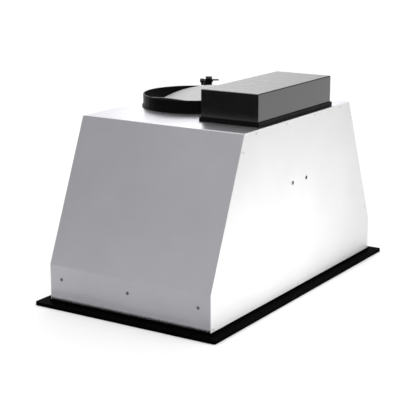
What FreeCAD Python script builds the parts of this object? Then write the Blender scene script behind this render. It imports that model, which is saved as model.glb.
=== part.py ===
"""Range hood insert: a sheet-metal body with a blower, for building into a cabinet hood.

Millimetres. X is the width, right positive; Y is the depth, rear positive; Z is up.
The origin is at the middle of the underside of the mounting flange.
"""
import FreeCAD, Part
import math
import os
import Sketcher

Vector = FreeCAD.Vector

SIZES = {
    # sheet-metal body
    "sheet_gauge": 1.0,
    "body_length": 655,
    "body_depth": 365,
    "wall_height": 70,
    "body_height": 343,
    "end_inset": 113.5,
    "bend_radius": 2.2,
    "seam_width": 14,
    # mounting flange
    "flange_overhang": 22.5,
    "flange_height": 10,
    "flange_gauge": 1.5,
    "flange_corner": 5,
    "flange_edge": 6.5,
    "flange_step": 2,
    "flange_step_corner": 2,
    "mount_hole_radius": 2.75,
    "mount_hole_spacing": 240,
    # inner angles and rails
    "angle_height": 16,
    "angle_clearance": 3.5,
    "rail_height": 26,
    "rail_leg": 18,
    "rail_end_gap": 8,
    # rivets
    "rivet_radius": 1.6,
    "rivet_head_radius": 3.3,
    "rivet_head_height": 1.1,
    "rivet_tail_radius": 2.4,
    "rivet_tail_length": 2.5,
    "mandrel_radius": 1.1,
    "mandrel_depth": 0.9,
    "mandrel_recess": 0.27,
    "hole_clearance": 0.1,
    "rivet_edge": 10,
    "corner_rivet_edge": 7.8,
    "low_rivet_height": 5.8,
    "top_rivet_drop": 6.1,
    "top_rivet_spacing": 115,
    "side_rivet_low": 99.5,
    "side_rivet_drop": 34.2,
    "end_rivet_height": 43,
    "end_rivet_edge": 27,
    "fixing_hole_radius": 4,
    "fixing_hole_spacing": 56,
    "fixing_hole_height": 217,
    # bottom pan
    "pan_level": 4,
    "pan_rim": 1.0,
    "pan_screw_radius": 2,
    "pan_screw_head": 4,
    "pan_screw_head_height": 1.4,
    "pan_screw_spacing": 150,
    "flange_rivet_spacing": 95,
    # filters
    "centre_bar": 28,
    "side_strip": 27.5,
    "front_strip": 70.5,
    "rear_strip": 24.5,
    "filter_gap": 1.5,
    "filter_lift": 0.3,
    "filter_thickness": 14,
    "filter_gauge": 0.8,
    "filter_lip": 12,
    "tongue_reach": 8,
    "tongue_inset": 20,
    "baffle_count": 12,
    "baffle_width": 15,
    "baffle_height": 5,
    "knob_spacing": 120,
    "knob_radius": 7,
    "knob_neck": 3,
    "knob_height": 3.2,
    "knob_head_height": 2,
    "clip_width": 16,
    "clip_spacing": 70,
    "clip_gauge": 0.8,
    "clip_foot": 18,
    "clip_stand": 4,
    "clip_nose_level": 6,
    "clip_nose_reach": 2.5,
    "clip_window": 2,
    # lamps and switches on the front strip
    "strip_setback": 43.5,
    "lamp_inset": 92.5,
    "lamp_radius": 21,
    "lamp_bezel_rim": 4,
    "lamp_bezel_height": 1.4,
    "lamp_lens_radius": 18,
    "lamp_lens_thickness": 1.8,
    "lamp_lens_seat": 2,
    "lamp_lens_lip": 0.6,
    "lamp_can_height": 24,
    "lamp_can_wall": 1.2,
    "lamp_can_gap": 0.4,
    "button_spacing": 28,
    "button_radius": 9,
    "button_gap": 0.4,
    "button_proud": 1.8,
    "button_travel": 1.5,
    "button_flange_rim": 2,
    "button_flange_height": 1.2,
    "button_seat_gap": 0.3,
    "button_stem_radius": 3,
    "button_stem_length": 7,
    "button_stem_gap": 0.25,
    "switch_block_end": 16,
    "switch_block_depth": 32,
    "switch_block_height": 22,
    # duct collar and damper
    "collar_rear_gap": 3.5,
    "collar_radius": 102.4,
    "collar_wall": 2.5,
    "collar_height": 26,
    "collar_lip": 2.4,
    "collar_lip_height": 2.2,
    "collar_chamfer": 0.7,
    "collar_fit": 0.4,
    "gasket_height": 1,
    "skirt_depth": 14,
    "hook_reach": 1.6,
    "hook_width": 16,
    "hook_height": 3,
    "axle_radius": 2,
    "axle_drop": 7.4,
    "running_fit": 0.05,
    "damper_rest": 20,
    "flap_gauge": 1.2,
    "flap_gap": 1,
    "knuckle_radius": 4,
    "knuckle_gap": 0.6,
    "knuckle_count": 5,
    "stop_radius": 1.5,
    "stop_reach": 6,
    "stop_gap": 0.4,
    # electrical box
    "box_end_room": 24,
    "box_collar_gap": 3.9,
    "box_height": 61.6,
    "box_setback": 11.2,
    "box_wall": 1.5,
    "box_lip": 3,
    "box_rim": 8.6,
    "box_bend": 2,
    "box_base": 3,
    "box_tab_height": 16,
    "box_tab_length": 120,
    "box_screw_spacing": 80,
    "box_screw_level": 9.6,
    "box_screw_radius": 1.8,
    "box_screw_head": 3.2,
    "box_screw_head_height": 1.8,
    "box_screw_length": 6,
    "board_length": 104,
    "board_margin": 22.5,
    "board_gauge": 1.6,
    "board_post": 6,
    "board_post_radius": 3,
    "board_post_inset": 6,
    "board_offset": 8,
    "transformer_length": 50,
    "transformer_depth": 42,
    "transformer_height": 40,
    "transformer_offset": 81,
    "terminal_length": 46,
    "terminal_depth": 22,
    "terminal_height": 18,
    "terminal_offset": 80,
    "terminal_setback": 28,
    "terminal_ways": 4,
    "terminal_screw_radius": 2.6,
    "terminal_screw_depth": 5,
    "capacitor_radius": 15,
    "capacitor_length": 46,
    "capacitor_offset": 58,
    "capacitor_gap": 6,
    "lead_clearance": 17,
    "switch_lead_clearance": 14,
    "grommet_bore": 3.2,
    "grommet_radius": 8,
    "grommet_rim": 2.5,
    "grommet_rim_height": 2,
    "lead_radius": 3,
    "lead_bend": 40,
    "switch_lead_bend": 20,
    # cable clamp
    "clamp_inset": 32.8,
    "clamp_setback": 29.7,
    "clamp_turn": 32.25,
    "clamp_neck": 1.9,
    "clamp_neck_top": 18.5,
    "clamp_nipple_radius": 10,
    "clamp_bore": 7,
    "clamp_groove": 7.4,
    "clamp_base_radius": 15,
    "clamp_base_height": 4,
    "clamp_nipple_depth": 10,
    "clamp_nut_radius": 14,
    "clamp_nut_height": 4,
    "clamp_length": 30,
    "clamp_jaw": 14,
    "clamp_top": 29.6,
    "clamp_throat": 4.1,
    "clamp_bar": 6.1,
    "clamp_bar_low": 14.5,
    "clamp_bar_high": 24.8,
    "clamp_screw_spacing": 22,
    "clamp_screw_radius": 1.7,
    "clamp_screw_level": 22.4,
    "clamp_screw_tip": 14.6,
    "clamp_short_tip": 2,
    "clamp_screw_head": 3,
    "clamp_screw_head_height": 2.4,
    # blower
    "outlet_gap": 1.6,
    "outlet_rim": 10,
    "outlet_gauge": 1.5,
    "outlet_screw_spacing": 120,
    "blower_screw_radius": 2,
    "blower_screw_head": 3.8,
    "blower_screw_head_height": 2.2,
    "scroll_gauge": 1,
    "scroll_radius": 116,
    "scroll_growth": 20,
    "fan_height": 195,
    "inlet_radius": 76,
    "inlet_lip": 6,
    "wheel_radius": 92,
    "wheel_side_gap": 12,
    "wheel_ring": 13,
    "wheel_ring_gauge": 2,
    "wheel_disc_gauge": 2,
    "blade_count": 32,
    "blade_depth": 16,
    "blade_gauge": 1,
    "blade_lean": 8,
    "blade_curve": 18,
    "hub_radius": 15,
    "hub_half_length": 15,
    "shaft_radius": 5,
    "shaft_overhang": 4,
    "motor_radius": 52,
    "motor_reach": 63,
    "motor_split": 25,
    "motor_tail": 27,
    "motor_wall": 2,
    "motor_flange": 7,
    "motor_flange_gauge": 2.5,
    "motor_fit": 0.3,
    "bearing_radius": 11,
    "bearing_length": 10,
    "bearing_boss": 3,
    "stator_inner": 30,
    "stator_reach": 48,
    "rotor_gap": 0.7,
    "bracket_gauge": 2,
    "bracket_ring": 14,
    "bracket_arm_width": 24,
    "bracket_arm_reach": 93,
    "bracket_screw_circle": 85,
    "bracket_arms": 3,
}

doc = FreeCAD.newDocument("range_hood_insert")
sheet = doc.addObject("Spreadsheet::Sheet", "size")
for row, (alias, number) in enumerate(SIZES.items(), start=1):
    sheet.set(f"A{row}", alias)
    sheet.set(f"B{row}", str(number))
    sheet.setAlias(f"B{row}", alias)
doc.recompute()

nodes = []
pockets = []
LEVEL_TOLERANCE = 1e-6

# Places that many pieces share, as expressions on the sheet.
GAUGE = "size.sheet_gauge"
HALF_LENGTH = "(size.body_length / 2)"
HALF_DEPTH = "(size.body_depth / 2)"
BASE = "size.flange_height"
KNEE = "(size.flange_height + size.wall_height)"
ROOF = "(size.flange_height + size.body_height)"
SLOPE_RISE = "(size.body_height - size.wall_height)"
SLOPE_LENGTH = f"sqrt(size.end_inset ^ 2 + {SLOPE_RISE} ^ 2)"
KNEE_SHARE = f"(({SLOPE_LENGTH} - {SLOPE_RISE}) / size.end_inset)"
ROOF_SHARE = f"(({SLOPE_LENGTH} - size.end_inset) / {SLOPE_RISE})"
FLANGE_UNDER = "(size.flange_height - size.flange_gauge)"
EDGE_UNDER = "(size.flange_edge - size.flange_gauge)"
PAN_TOP = f"(size.pan_level + {GAUGE})"
FILTER_LOW = "(size.pan_level + size.filter_lift)"
STRIP_Y = f"(size.strip_setback - {HALF_DEPTH})"
OPENING_NEAR = "(size.centre_bar / 2)"
OPENING_FAR = f"({HALF_LENGTH} - size.side_strip)"
OPENING_FRONT = f"(size.front_strip - {HALF_DEPTH})"
OPENING_REAR = f"({HALF_DEPTH} - size.rear_strip)"
OUTLET_HALF = "(size.collar_radius + size.outlet_gap)"
COLLAR_Y = f"({HALF_DEPTH} - size.collar_rear_gap - size.outlet_rim - {OUTLET_HALF})"
COLLAR_INNER = "(size.collar_radius - size.collar_wall)"
COLLAR_HOLE = "(size.collar_radius + size.collar_fit)"
BOX_FRONT = f"(size.box_setback - {HALF_DEPTH})"
BOX_REAR = f"({COLLAR_Y} - size.collar_radius - size.collar_lip - size.box_collar_gap - size.box_lip)"
BOX_DEPTH = f"({BOX_REAR} - {BOX_FRONT})"
BOARD_DEPTH = f"({BOX_DEPTH} - 2 * size.board_margin)"
BOX_FLOOR = f"({ROOF} + size.box_base)"
OUTLET_TOP = f"({ROOF} - {GAUGE})"
SCROLL_TOP = f"({OUTLET_TOP} - size.outlet_gauge)"
OUTLET_FRONT = f"({COLLAR_Y} - {OUTLET_HALF})"
OUTLET_REAR = f"({COLLAR_Y} + {OUTLET_HALF})"
FAN_Y = f"({OUTLET_REAR} - size.scroll_radius - 2.5 * size.scroll_growth)"
FAN_Z = "size.fan_height"
SIDE_PLATE = f"({OUTLET_HALF} + size.scroll_gauge)"
LEAD_Y = f"(({BOX_FRONT} + {BOX_REAR}) / 2)"
MOTOR_LEAD_X = f"({SIDE_PLATE} + size.lead_clearance)"
SWITCH_LEAD_X = f"(-{SIDE_PLATE} - size.switch_lead_clearance)"
BOX_HALF = f"({MOTOR_LEAD_X} + size.box_end_room)"
CLAMP_X = f"({HALF_LENGTH} - size.end_inset - size.clamp_inset)"
CLAMP_Y = f"({HALF_DEPTH} - size.clamp_setback)"


def value(expression):
    """The number that an expression on the sheet gives now."""
    result = sheet.evalExpression(str(expression))
    return float(getattr(result, "Value", result))


def bind(thing, **expressions):
    """Tie properties of an object to expressions on the sheet."""
    for name, expression in expressions.items():
        thing.setExpression(name, str(expression))


def place(thing, x="0", y="0", z="0"):
    """Tie an object's place to expressions on the sheet."""
    for axis, expression in zip("xyz", (x, y, z)):
        thing.setExpression(f"Placement.Base.{axis}", str(expression))


def turn(thing, axis, degrees):
    """Tie an object's turn about an axis to a size in degrees."""
    thing.Placement = FreeCAD.Placement(Vector(), FreeCAD.Rotation(axis, value(degrees)))
    thing.setExpression("Placement.Rotation.Angle", f"{degrees} * 1 deg")


def new_body(label, keep=True):
    """A body; the kept ones become pieces of the hood."""
    body = doc.addObject("PartDesign::Body", label)
    body.Label = label
    body.AllowCompound = True
    if keep:
        nodes.append(body)
    return body


def origin_feature(body, role):
    return next(item for item in body.Origin.OriginFeatures if item.Role == role)


def new_sketch(body, plane, level):
    """A sketch on a plane of its own body, moved to a level along that plane's axis."""
    sketch = body.newObject("Sketcher::SketchObject", f"{body.Name}_sketch")
    sketch.AttachmentSupport = (origin_feature(body, f"{plane}_Plane"), [""])
    sketch.MapMode = "FlatFace"
    sign = "-1" if plane == "XZ" else "1"
    sketch.setExpression("AttachmentOffset.Base.z", f"{sign} * ({level})")
    return sketch


def pin_point(sketch, geometry, end, x, y):
    for kind, expression in (("DistanceX", x), ("DistanceY", y)):
        index = sketch.addConstraint(Sketcher.Constraint(kind, geometry, end, value(expression)))
        sketch.setExpression(f"Constraints[{index}]", str(expression))


def pin_radius(sketch, geometry, radius):
    index = sketch.addConstraint(Sketcher.Constraint("Radius", geometry, value(radius)))
    sketch.setExpression(f"Constraints[{index}]", str(radius))


def arc_between(start, end, radius, turn):
    """The shorter arc from start to end; turn is 1 for counterclockwise and -1 for clockwise."""
    chord = end - start
    rise = math.sqrt(max(radius ** 2 - (chord.Length / 2) ** 2, 0))
    side = Vector(-chord.y, chord.x, 0).normalize() * turn
    centre = (start + end) / 2 + side * rise
    first, last = (start, end) if turn > 0 else (end, start)
    circle = Part.Circle(centre, Vector(0, 0, 1), radius)
    return Part.ArcOfCircle(circle, circle.parameter(first), circle.parameter(last))


def draw_outline(sketch, corners):
    """A closed outline. A corner is (x, y), or (x, y, radius, turn) where an arc leads to it."""
    spots = [Vector(value(corner[0]), value(corner[1]), 0) for corner in corners]
    ends = []
    for index, corner in enumerate(corners):
        start, end = spots[index - 1], spots[index]
        if len(corner) == 2:
            segment = sketch.addGeometry(Part.LineSegment(start, end), False)
            ends.append((segment, 1, 2))
        else:
            radius, turn = corner[2:]
            segment = sketch.addGeometry(arc_between(start, end, value(radius), turn), False)
            ends.append((segment, 1, 2) if turn > 0 else (segment, 2, 1))
    for index, corner in enumerate(corners):
        here, following = ends[index], ends[(index + 1) % len(ends)]
        sketch.addConstraint(Sketcher.Constraint("Coincident", here[0], here[2], following[0], following[1]))
        pin_point(sketch, here[0], here[2], corner[0], corner[1])
        if len(corner) == 4:
            pin_radius(sketch, here[0], corner[2])


def draw_circle(sketch, x, y, radius):
    circle = Part.Circle(Vector(value(x), value(y), 0), Vector(0, 0, 1), value(radius))
    index = sketch.addGeometry(circle, False)
    pin_point(sketch, index, 3, x, y)
    pin_radius(sketch, index, radius)


def draw(sketch, outlines, circles):
    for corners in outlines:
        draw_outline(sketch, corners)
    for circle in circles:
        draw_circle(sketch, *circle)


def pad(body, plane, low, high, outlines=(), circles=(), taper=0, from_low=None):
    """Material between two levels; a taper narrows it away from the level that it starts at."""
    along = plane != "XZ"
    starts_low = along if from_low is None else from_low
    sketch = new_sketch(body, plane, low if starts_low else high)
    draw(sketch, outlines, circles)
    feature = body.newObject("PartDesign::Pad", f"{body.Name}_pad")
    feature.Profile = sketch
    feature.Reversed = starts_low != along
    feature.TaperAngle = -taper
    bind(feature, Length=f"({high}) - ({low})")
    body.Tip = feature
    return feature


def pocket(body, plane, low, high, outlines=(), circles=()):
    """A cut between two levels."""
    sketch = new_sketch(body, plane, low if plane == "XZ" else high)
    draw(sketch, outlines, circles)
    feature = body.newObject("PartDesign::Pocket", f"{body.Name}_pocket")
    feature.Profile = sketch
    bind(feature, Length=f"({high}) - ({low})")
    body.Tip = feature
    pockets.append(feature)
    return feature


def revolve(body, plane, axis, corners):
    """A turned shape about the sketch's own axis, H_Axis or V_Axis."""
    sketch = new_sketch(body, plane, "0")
    draw_outline(sketch, corners)
    feature = body.newObject("PartDesign::Revolution", f"{body.Name}_turning")
    feature.Profile = sketch
    feature.ReferenceAxis = (sketch, [axis])
    feature.Angle = 360
    body.Tip = feature
    return feature


def bend_top(body, feature, level, radius):
    """Bends along the edges of a block's top face."""
    doc.recompute()
    top = value(level)
    edges = [f"Edge{number}" for number, edge in enumerate(feature.Shape.Edges, start=1)
             if all(abs(corner.Z - top) < LEVEL_TOLERANCE for corner in edge.Vertexes)]
    bend = body.newObject("PartDesign::Fillet", f"{body.Name}_bend")
    bend.Base = (feature, edges)
    bind(bend, Radius=radius)
    body.Tip = bend


def polar(body, feature, role, count):
    """Copies of a feature round one of the body's own axes."""
    pattern = body.newObject("PartDesign::PolarPattern", f"{body.Name}_polar")
    pattern.Originals = [feature]
    pattern.Axis = (origin_feature(body, role), [""])
    pattern.Angle = 360
    bind(pattern, Occurrences=count)
    body.Tip = pattern
    return pattern


def row_of(body, feature, role, length, count):
    """Copies of a feature in a line along one of the body's own axes."""
    pattern = body.newObject("PartDesign::LinearPattern", f"{body.Name}_row")
    pattern.Originals = [feature]
    pattern.Direction = (origin_feature(body, role), [""])
    bind(pattern, Length=length, Occurrences=count)
    body.Tip = pattern
    return pattern


def rectangle(x_low, x_high, y_low, y_high):
    return [(x_low, y_low), (x_high, y_low), (x_high, y_high), (x_low, y_high)]


def rounded_rectangle(half_x, half_y, radius):
    """A rectangle about the origin with round corners, counterclockwise."""
    flat_x, flat_y = f"({half_x} - {radius})", f"({half_y} - {radius})"
    return [
        (f"-{flat_x}", f"-{half_y}"), (flat_x, f"-{half_y}"),
        (half_x, f"-{flat_y}", radius, 1), (half_x, flat_y),
        (flat_x, half_y, radius, 1), (f"-{flat_x}", half_y),
        (f"-{half_x}", flat_y, radius, 1), (f"-{half_x}", f"-{flat_y}"),
        (f"-{flat_x}", f"-{half_y}", radius, 1),
    ][1:]


def backwards(path):
    """The same open path walked the other way."""
    walked = [path[-1][:2]]
    for here, before in zip(reversed(path), reversed(path[:-1])):
        bend = () if len(here) == 2 else (here[2], -here[3])
        walked.append(before[:2] + bend)
    return walked


def strip(outer, inner):
    """The outline of a sheet between two open paths."""
    return outer + backwards(inner)


def mirrored(places):
    """Each place, and its twin on the other side of the middle."""
    return [(f"{sign} * ({x})", y) for x, y in places for sign in (-1, 1)]


def studs(body, plane, places, radius, low, high, **shape):
    """Round pegs at several places, between two levels."""
    return pad(body, plane, low, high, circles=[(x, y, radius) for x, y in places], **shape)


def grown(radius):
    """A hole's radius for a peg of this radius."""
    return f"({radius} + size.hole_clearance)"


RIVET_HOLE = grown("size.rivet_radius")


def round_holes(places, radius):
    return [(x, y, radius) for x, y in places]


def shell_path(inset, radius=None):
    """The end walls, slopes and top seen from the front, right foot to left foot."""
    wall = f"({HALF_LENGTH} - {inset})"
    knee = f"({KNEE} - {inset} * {KNEE_SHARE})"
    top_x = f"({HALF_LENGTH} - size.end_inset - {inset} * {ROOF_SHARE})"
    top_z = f"({ROOF} - {inset})"
    if radius is None:
        right = [(wall, BASE), (wall, knee), (top_x, top_z)]
        return right + [(f"-{x}", z) for x, z in reversed(right)]
    lean, climb = f"size.end_inset / {SLOPE_LENGTH}", f"{SLOPE_RISE} / {SLOPE_LENGTH}"
    near_knee, near_top = f"{radius} * {KNEE_SHARE}", f"{radius} * {ROOF_SHARE}"
    right = [
        (wall, BASE),
        (wall, f"({knee} - {near_knee})"),
        (f"({wall} - {near_knee} * {lean})", f"({knee} + {near_knee} * {climb})", radius, 1),
        (f"({top_x} + {near_top} * {lean})", f"({top_z} - {near_top} * {climb})"),
        (f"({top_x} - {near_top})", top_z, radius, 1),
    ]
    left = [(f"-{corner[0]}",) + corner[1:] for corner in backwards(right)]
    return right + [corner[:2] + ((corner[2], 1) if len(corner) == 4 else ()) for corner in left]


def sloped_edge(height):
    """Half the width of the front panel at a height over the flange."""
    return f"({HALF_LENGTH} - size.end_inset * ({height} - size.wall_height) / {SLOPE_RISE})"


def panel_rivet_places():
    """Rivets of the front or rear panel: foot, sloped sides and top."""
    places = [("0", f"{BASE} + size.low_rivet_height")]
    pairs = [(f"{HALF_LENGTH} - size.corner_rivet_edge", f"{BASE} + size.low_rivet_height")]
    for height in ("size.side_rivet_low", "(size.body_height - size.side_rivet_drop)"):
        pairs.append((f"{sloped_edge(height)} - size.rivet_edge", f"{BASE} + {height}"))
    for steps in (0.5, 1.5):
        pairs.append((f"{steps} * size.top_rivet_spacing", f"{ROOF} - size.top_rivet_drop"))
    return places + mirrored(pairs)


def end_rivet_places():
    height = f"{BASE} + size.end_rivet_height"
    return [("0", height)] + mirrored([(f"{HALF_DEPTH} - size.end_rivet_edge", height)])


def edge_places(spacing, middle):
    """Places round the foot of the body, in the middle of the seam."""
    side = f"{HALF_LENGTH} - size.seam_width / 2"
    front = f"{HALF_DEPTH} - size.seam_width / 2"
    places = []
    for sign in (-1, 1):
        places += [(f"{sign} * ({side})", f"{turn} * size.{spacing}") for turn in (-1, 1)]
        places += [(f"{turn} * {middle} * size.{spacing}", f"{sign} * ({front})") for turn in (-1, 1)]
    return places


PAN_SCREW_SHARE = 0.8
FLANGE_RIVET_SHARE = 2.4


def pan_screw_places():
    return edge_places("pan_screw_spacing", PAN_SCREW_SHARE)


def flange_rivet_places():
    return edge_places("flange_rivet_spacing", FLANGE_RIVET_SHARE)


def outlet_screw_places():
    side = f"{OUTLET_HALF} + size.outlet_rim / 2"
    return mirrored([(side, f"{COLLAR_Y} + {turn} * size.outlet_screw_spacing / 2") for turn in (-1, 1)])


def lead_places():
    return [(MOTOR_LEAD_X, LEAD_Y), (SWITCH_LEAD_X, STRIP_Y)]


def make_canopy_wrap():
    """One sheet bent over the ends and the top, with seams turned in front and rear."""
    body = new_body("canopy_wrap")
    face = f"({HALF_DEPTH} - {GAUGE})"
    outer = shell_path("0", "size.bend_radius")
    inner = shell_path(GAUGE, f"(size.bend_radius - {GAUGE})")
    seam = shell_path("size.seam_width")
    holes = round_holes([p for p in panel_rivet_places() if p[0] != "0"], RIVET_HOLE)
    pad(body, "XZ", f"-{face}", face, [strip(outer, inner)])
    pad(body, "XZ", f"-{face}", f"{GAUGE} - {face}", [strip(outer, seam)], holes)
    pad(body, "XZ", f"{face} - {GAUGE}", face, [strip(outer, seam)], holes)
    foot_holes = round_holes(edge_side(flange_rivet_places()), RIVET_HOLE)
    foot_holes += round_holes(edge_side(pan_screw_places()), grown("size.pan_screw_radius"))
    for sign in (-1, 1):
        near, far = f"{sign} * ({HALF_LENGTH} - size.seam_width)", f"{sign} * {HALF_LENGTH}"
        side_holes = [hole for hole in foot_holes if hole[0].startswith(f"{sign} *")]
        pad(body, "XY", BASE, f"{BASE} + {GAUGE}", [rectangle(near, far, f"-{face}", face)], side_holes)
    roof_holes = [("0", COLLAR_Y, COLLAR_HOLE)]
    roof_holes += round_holes(lead_places(), grown("size.grommet_radius"))
    roof_holes += round_holes(outlet_screw_places(), grown("size.blower_screw_radius"))
    roof_holes.append((CLAMP_X, CLAMP_Y, grown("size.clamp_nipple_radius")))
    pocket(body, "XY", f"{ROOF} - {GAUGE}", ROOF, circles=roof_holes)
    left_wall = (f"-{HALF_LENGTH}", f"{GAUGE} - {HALF_LENGTH}")
    right_wall = (f"{HALF_LENGTH} - {GAUGE}", HALF_LENGTH)
    for low, high in (left_wall, right_wall):
        pocket(body, "YZ", low, high, circles=round_holes(end_rivet_places(), RIVET_HOLE))


def edge_side(places):
    """The places along the two ends, out of those round the foot."""
    return [place for place in places if "body_length" in place[0]]


def edge_front(places, sign):
    """The places along the front (-1) or the rear (1), out of those round the foot."""
    return [place for place in places if place[1].startswith(f"{sign} * ((size.body_depth")]


def make_panels():
    """Flat front and rear panels; the front one has two fixing holes."""
    outline = shell_path("0", "size.bend_radius")
    rivets = round_holes(panel_rivet_places(), RIVET_HOLE)
    fixing = mirrored([("size.fixing_hole_spacing / 2", f"{BASE} + size.fixing_hole_height")])
    front = new_body("front_panel")
    pad(front, "XZ", f"-{HALF_DEPTH}", f"{GAUGE} - {HALF_DEPTH}", [outline],
        rivets + round_holes(fixing, "size.fixing_hole_radius"))
    rear = new_body("rear_panel")
    pad(rear, "XZ", f"{HALF_DEPTH} - {GAUGE}", HALF_DEPTH, [outline], rivets)


def make_base_angles():
    """Angles inside the foot of the front and rear panels."""
    half = f"({HALF_LENGTH} - size.seam_width - size.angle_clearance)"
    low_rivet = [("0", f"{BASE} + size.low_rivet_height", RIVET_HOLE)]
    for label, sign in (("front_base_angle", -1), ("rear_base_angle", 1)):
        body = new_body(label)
        face, back = f"({HALF_DEPTH} - {GAUGE})", f"({HALF_DEPTH} - 2 * {GAUGE})"
        inner = f"({HALF_DEPTH} - size.seam_width)"
        low, high = (f"-{face}", f"-{back}") if sign < 0 else (back, face)
        upright = rectangle(f"-{half}", half, BASE, f"{BASE} + size.angle_height")
        pad(body, "XZ", low, high, [upright], low_rivet)
        holes = round_holes(edge_front(flange_rivet_places(), sign), RIVET_HOLE)
        holes += round_holes(edge_front(pan_screw_places(), sign), grown("size.pan_screw_radius"))
        leg = rectangle(f"-{half}", half, f"{sign} * {inner}", f"{sign} * {face}")
        pad(body, "XY", BASE, f"{BASE} + {GAUGE}", [leg], holes)


def make_mounting_rails():
    """Angles riveted inside the two upright end walls."""
    half = f"({HALF_DEPTH} - {GAUGE} - size.rail_end_gap)"
    low = f"({BASE} + size.end_rivet_height - size.rail_height / 2)"
    high = f"({BASE} + size.end_rivet_height + size.rail_height / 2)"
    for label, sign in (("left_mounting_rail", -1), ("right_mounting_rail", 1)):
        body = new_body(label)
        wall, face = f"({HALF_LENGTH} - {GAUGE})", f"({HALF_LENGTH} - 2 * {GAUGE})"
        ends = (f"-{wall}", f"-{face}") if sign < 0 else (face, wall)
        upright = rectangle(f"-{half}", half, low, high)
        pad(body, "YZ", *ends, [upright], round_holes(end_rivet_places(), RIVET_HOLE))
        leg = rectangle(f"{sign} * {wall}", f"{sign} * ({wall} - size.rail_leg)", f"-{half}", half)
        pad(body, "XY", f"{high} - {GAUGE}", high, [leg])


def rivet_set(body, plane, places, face, sign):
    """Blind rivets through two sheets: a domed head outside, a shank and a tail inside."""
    grip = f"2 * {GAUGE}"
    layers = [
        ("size.rivet_head_radius", face, f"{face} + {sign} * size.rivet_head_height", HEAD_TAPER),
        ("size.rivet_radius", face, f"{face} - {sign} * {grip}", 0),
        ("size.rivet_tail_radius", f"{face} - {sign} * {grip}",
         f"{face} - {sign} * ({grip} + size.rivet_tail_length)", 0),
    ]
    for radius, near, far, taper in layers:
        rises = value(far) > value(near)
        low, high = (near, far) if rises else (far, near)
        studs(body, plane, places, radius, low, high, taper=taper, from_low=rises)
    mouth = f"{face} + {sign} * size.rivet_head_height"
    floor = f"{mouth} - {sign} * size.mandrel_depth"
    low, high = (floor, mouth) if sign > 0 else (mouth, floor)
    pocket(body, plane, low, high, circles=round_holes(places, "size.mandrel_radius"))
    return low, high


HEAD_TAPER = 35


def make_rivets():
    """Blind rivets of panels, ends and flange, with a dark mandrel stub in each outer head."""
    rivets, stubs = new_body("blind_rivets"), new_body("rivet_mandrels")
    sets = [
        ("XZ", panel_rivet_places(), f"-{HALF_DEPTH}", -1),
        ("XZ", panel_rivet_places(), HALF_DEPTH, 1),
        ("YZ", end_rivet_places(), f"-{HALF_LENGTH}", -1),
        ("YZ", end_rivet_places(), HALF_LENGTH, 1),
    ]
    for plane, places, face, sign in sets:
        low, high = rivet_set(rivets, plane, places, face, sign)
        recess = "size.mandrel_recess"
        ends = (low, f"{high} - {recess}") if sign > 0 else (f"{low} + {recess}", high)
        studs(stubs, plane, places, "size.mandrel_radius", *ends)
    places = flange_rivet_places()
    studs(rivets, "XY", places, "size.rivet_head_radius", f"{FLANGE_UNDER} - size.rivet_head_height",
          FLANGE_UNDER, taper=HEAD_TAPER, from_low=False)
    studs(rivets, "XY", places, "size.rivet_radius", FLANGE_UNDER, f"{BASE} + {GAUGE}")
    studs(rivets, "XY", places, "size.rivet_tail_radius", f"{BASE} + {GAUGE}",
          f"{BASE} + {GAUGE} + size.rivet_tail_length")


def make_mounting_flange():
    """A pressed frame: raised under the body, one step down outside it, and a turned-down edge."""
    body = new_body("mounting_flange")
    half_x = f"({HALF_LENGTH} + size.flange_overhang)"
    half_y = f"({HALF_DEPTH} + size.flange_overhang)"
    outer = rounded_rectangle(half_x, half_y, "size.flange_corner")
    lip_radius = "(size.flange_corner - size.flange_gauge)"
    lip = rounded_rectangle(f"({half_x} - size.flange_gauge)", f"({half_y} - size.flange_gauge)", lip_radius)
    open_x, open_y = f"({HALF_LENGTH} - size.seam_width)", f"({HALF_DEPTH} - size.seam_width)"
    window = rectangle(f"-{open_x}", open_x, f"-{open_y}", open_y)
    holes = round_holes(flange_rivet_places(), RIVET_HOLE)
    holes += round_holes(pan_screw_places(), grown("size.pan_screw_radius"))
    step_x, step_y = f"({HALF_LENGTH} + size.flange_step)", f"({HALF_DEPTH} + size.flange_step)"
    step = rounded_rectangle(step_x, step_y, "size.flange_step_corner")
    step_inside = rounded_rectangle(f"({step_x} - size.flange_gauge)", f"({step_y} - size.flange_gauge)",
                                    "(size.flange_step_corner - size.flange_gauge)")
    middle = f"{HALF_LENGTH} + size.flange_overhang / 2"
    mounts = mirrored([(middle, f"{turn} * size.mount_hole_spacing / 2") for turn in (-1, 1)])
    pad(body, "XY", FLANGE_UNDER, BASE, [step, window], holes)
    pad(body, "XY", EDGE_UNDER, FLANGE_UNDER, [step, step_inside])
    pad(body, "XY", EDGE_UNDER, "size.flange_edge", [outer, step_inside],
        round_holes(mounts, "size.mount_hole_radius"))
    pad(body, "XY", "0", EDGE_UNDER, [outer, lip])


def make_pan_screws():
    """Screws that hold the pan, through the flange."""
    screws = new_body("pan_screws")
    places = pan_screw_places()
    studs(screws, "XY", places, "size.pan_screw_head", "size.pan_level - size.pan_screw_head_height",
          "size.pan_level", taper=HEAD_TAPER, from_low=False)
    studs(screws, "XY", places, "size.pan_screw_radius", "size.pan_level",
          f"{BASE} + {GAUGE} + size.rivet_tail_length")


def filter_opening(sign):
    ends = (OPENING_NEAR, OPENING_FAR) if sign > 0 else (f"-{OPENING_FAR}", f"-{OPENING_NEAR}")
    return rectangle(*ends, OPENING_FRONT, OPENING_REAR)


def button_places():
    return [(f"{step} * size.button_spacing", STRIP_Y) for step in (-2, -1, 0, 1, 2)]


def lamp_places():
    return mirrored([(f"{HALF_LENGTH} - size.lamp_inset", STRIP_Y)])


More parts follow.
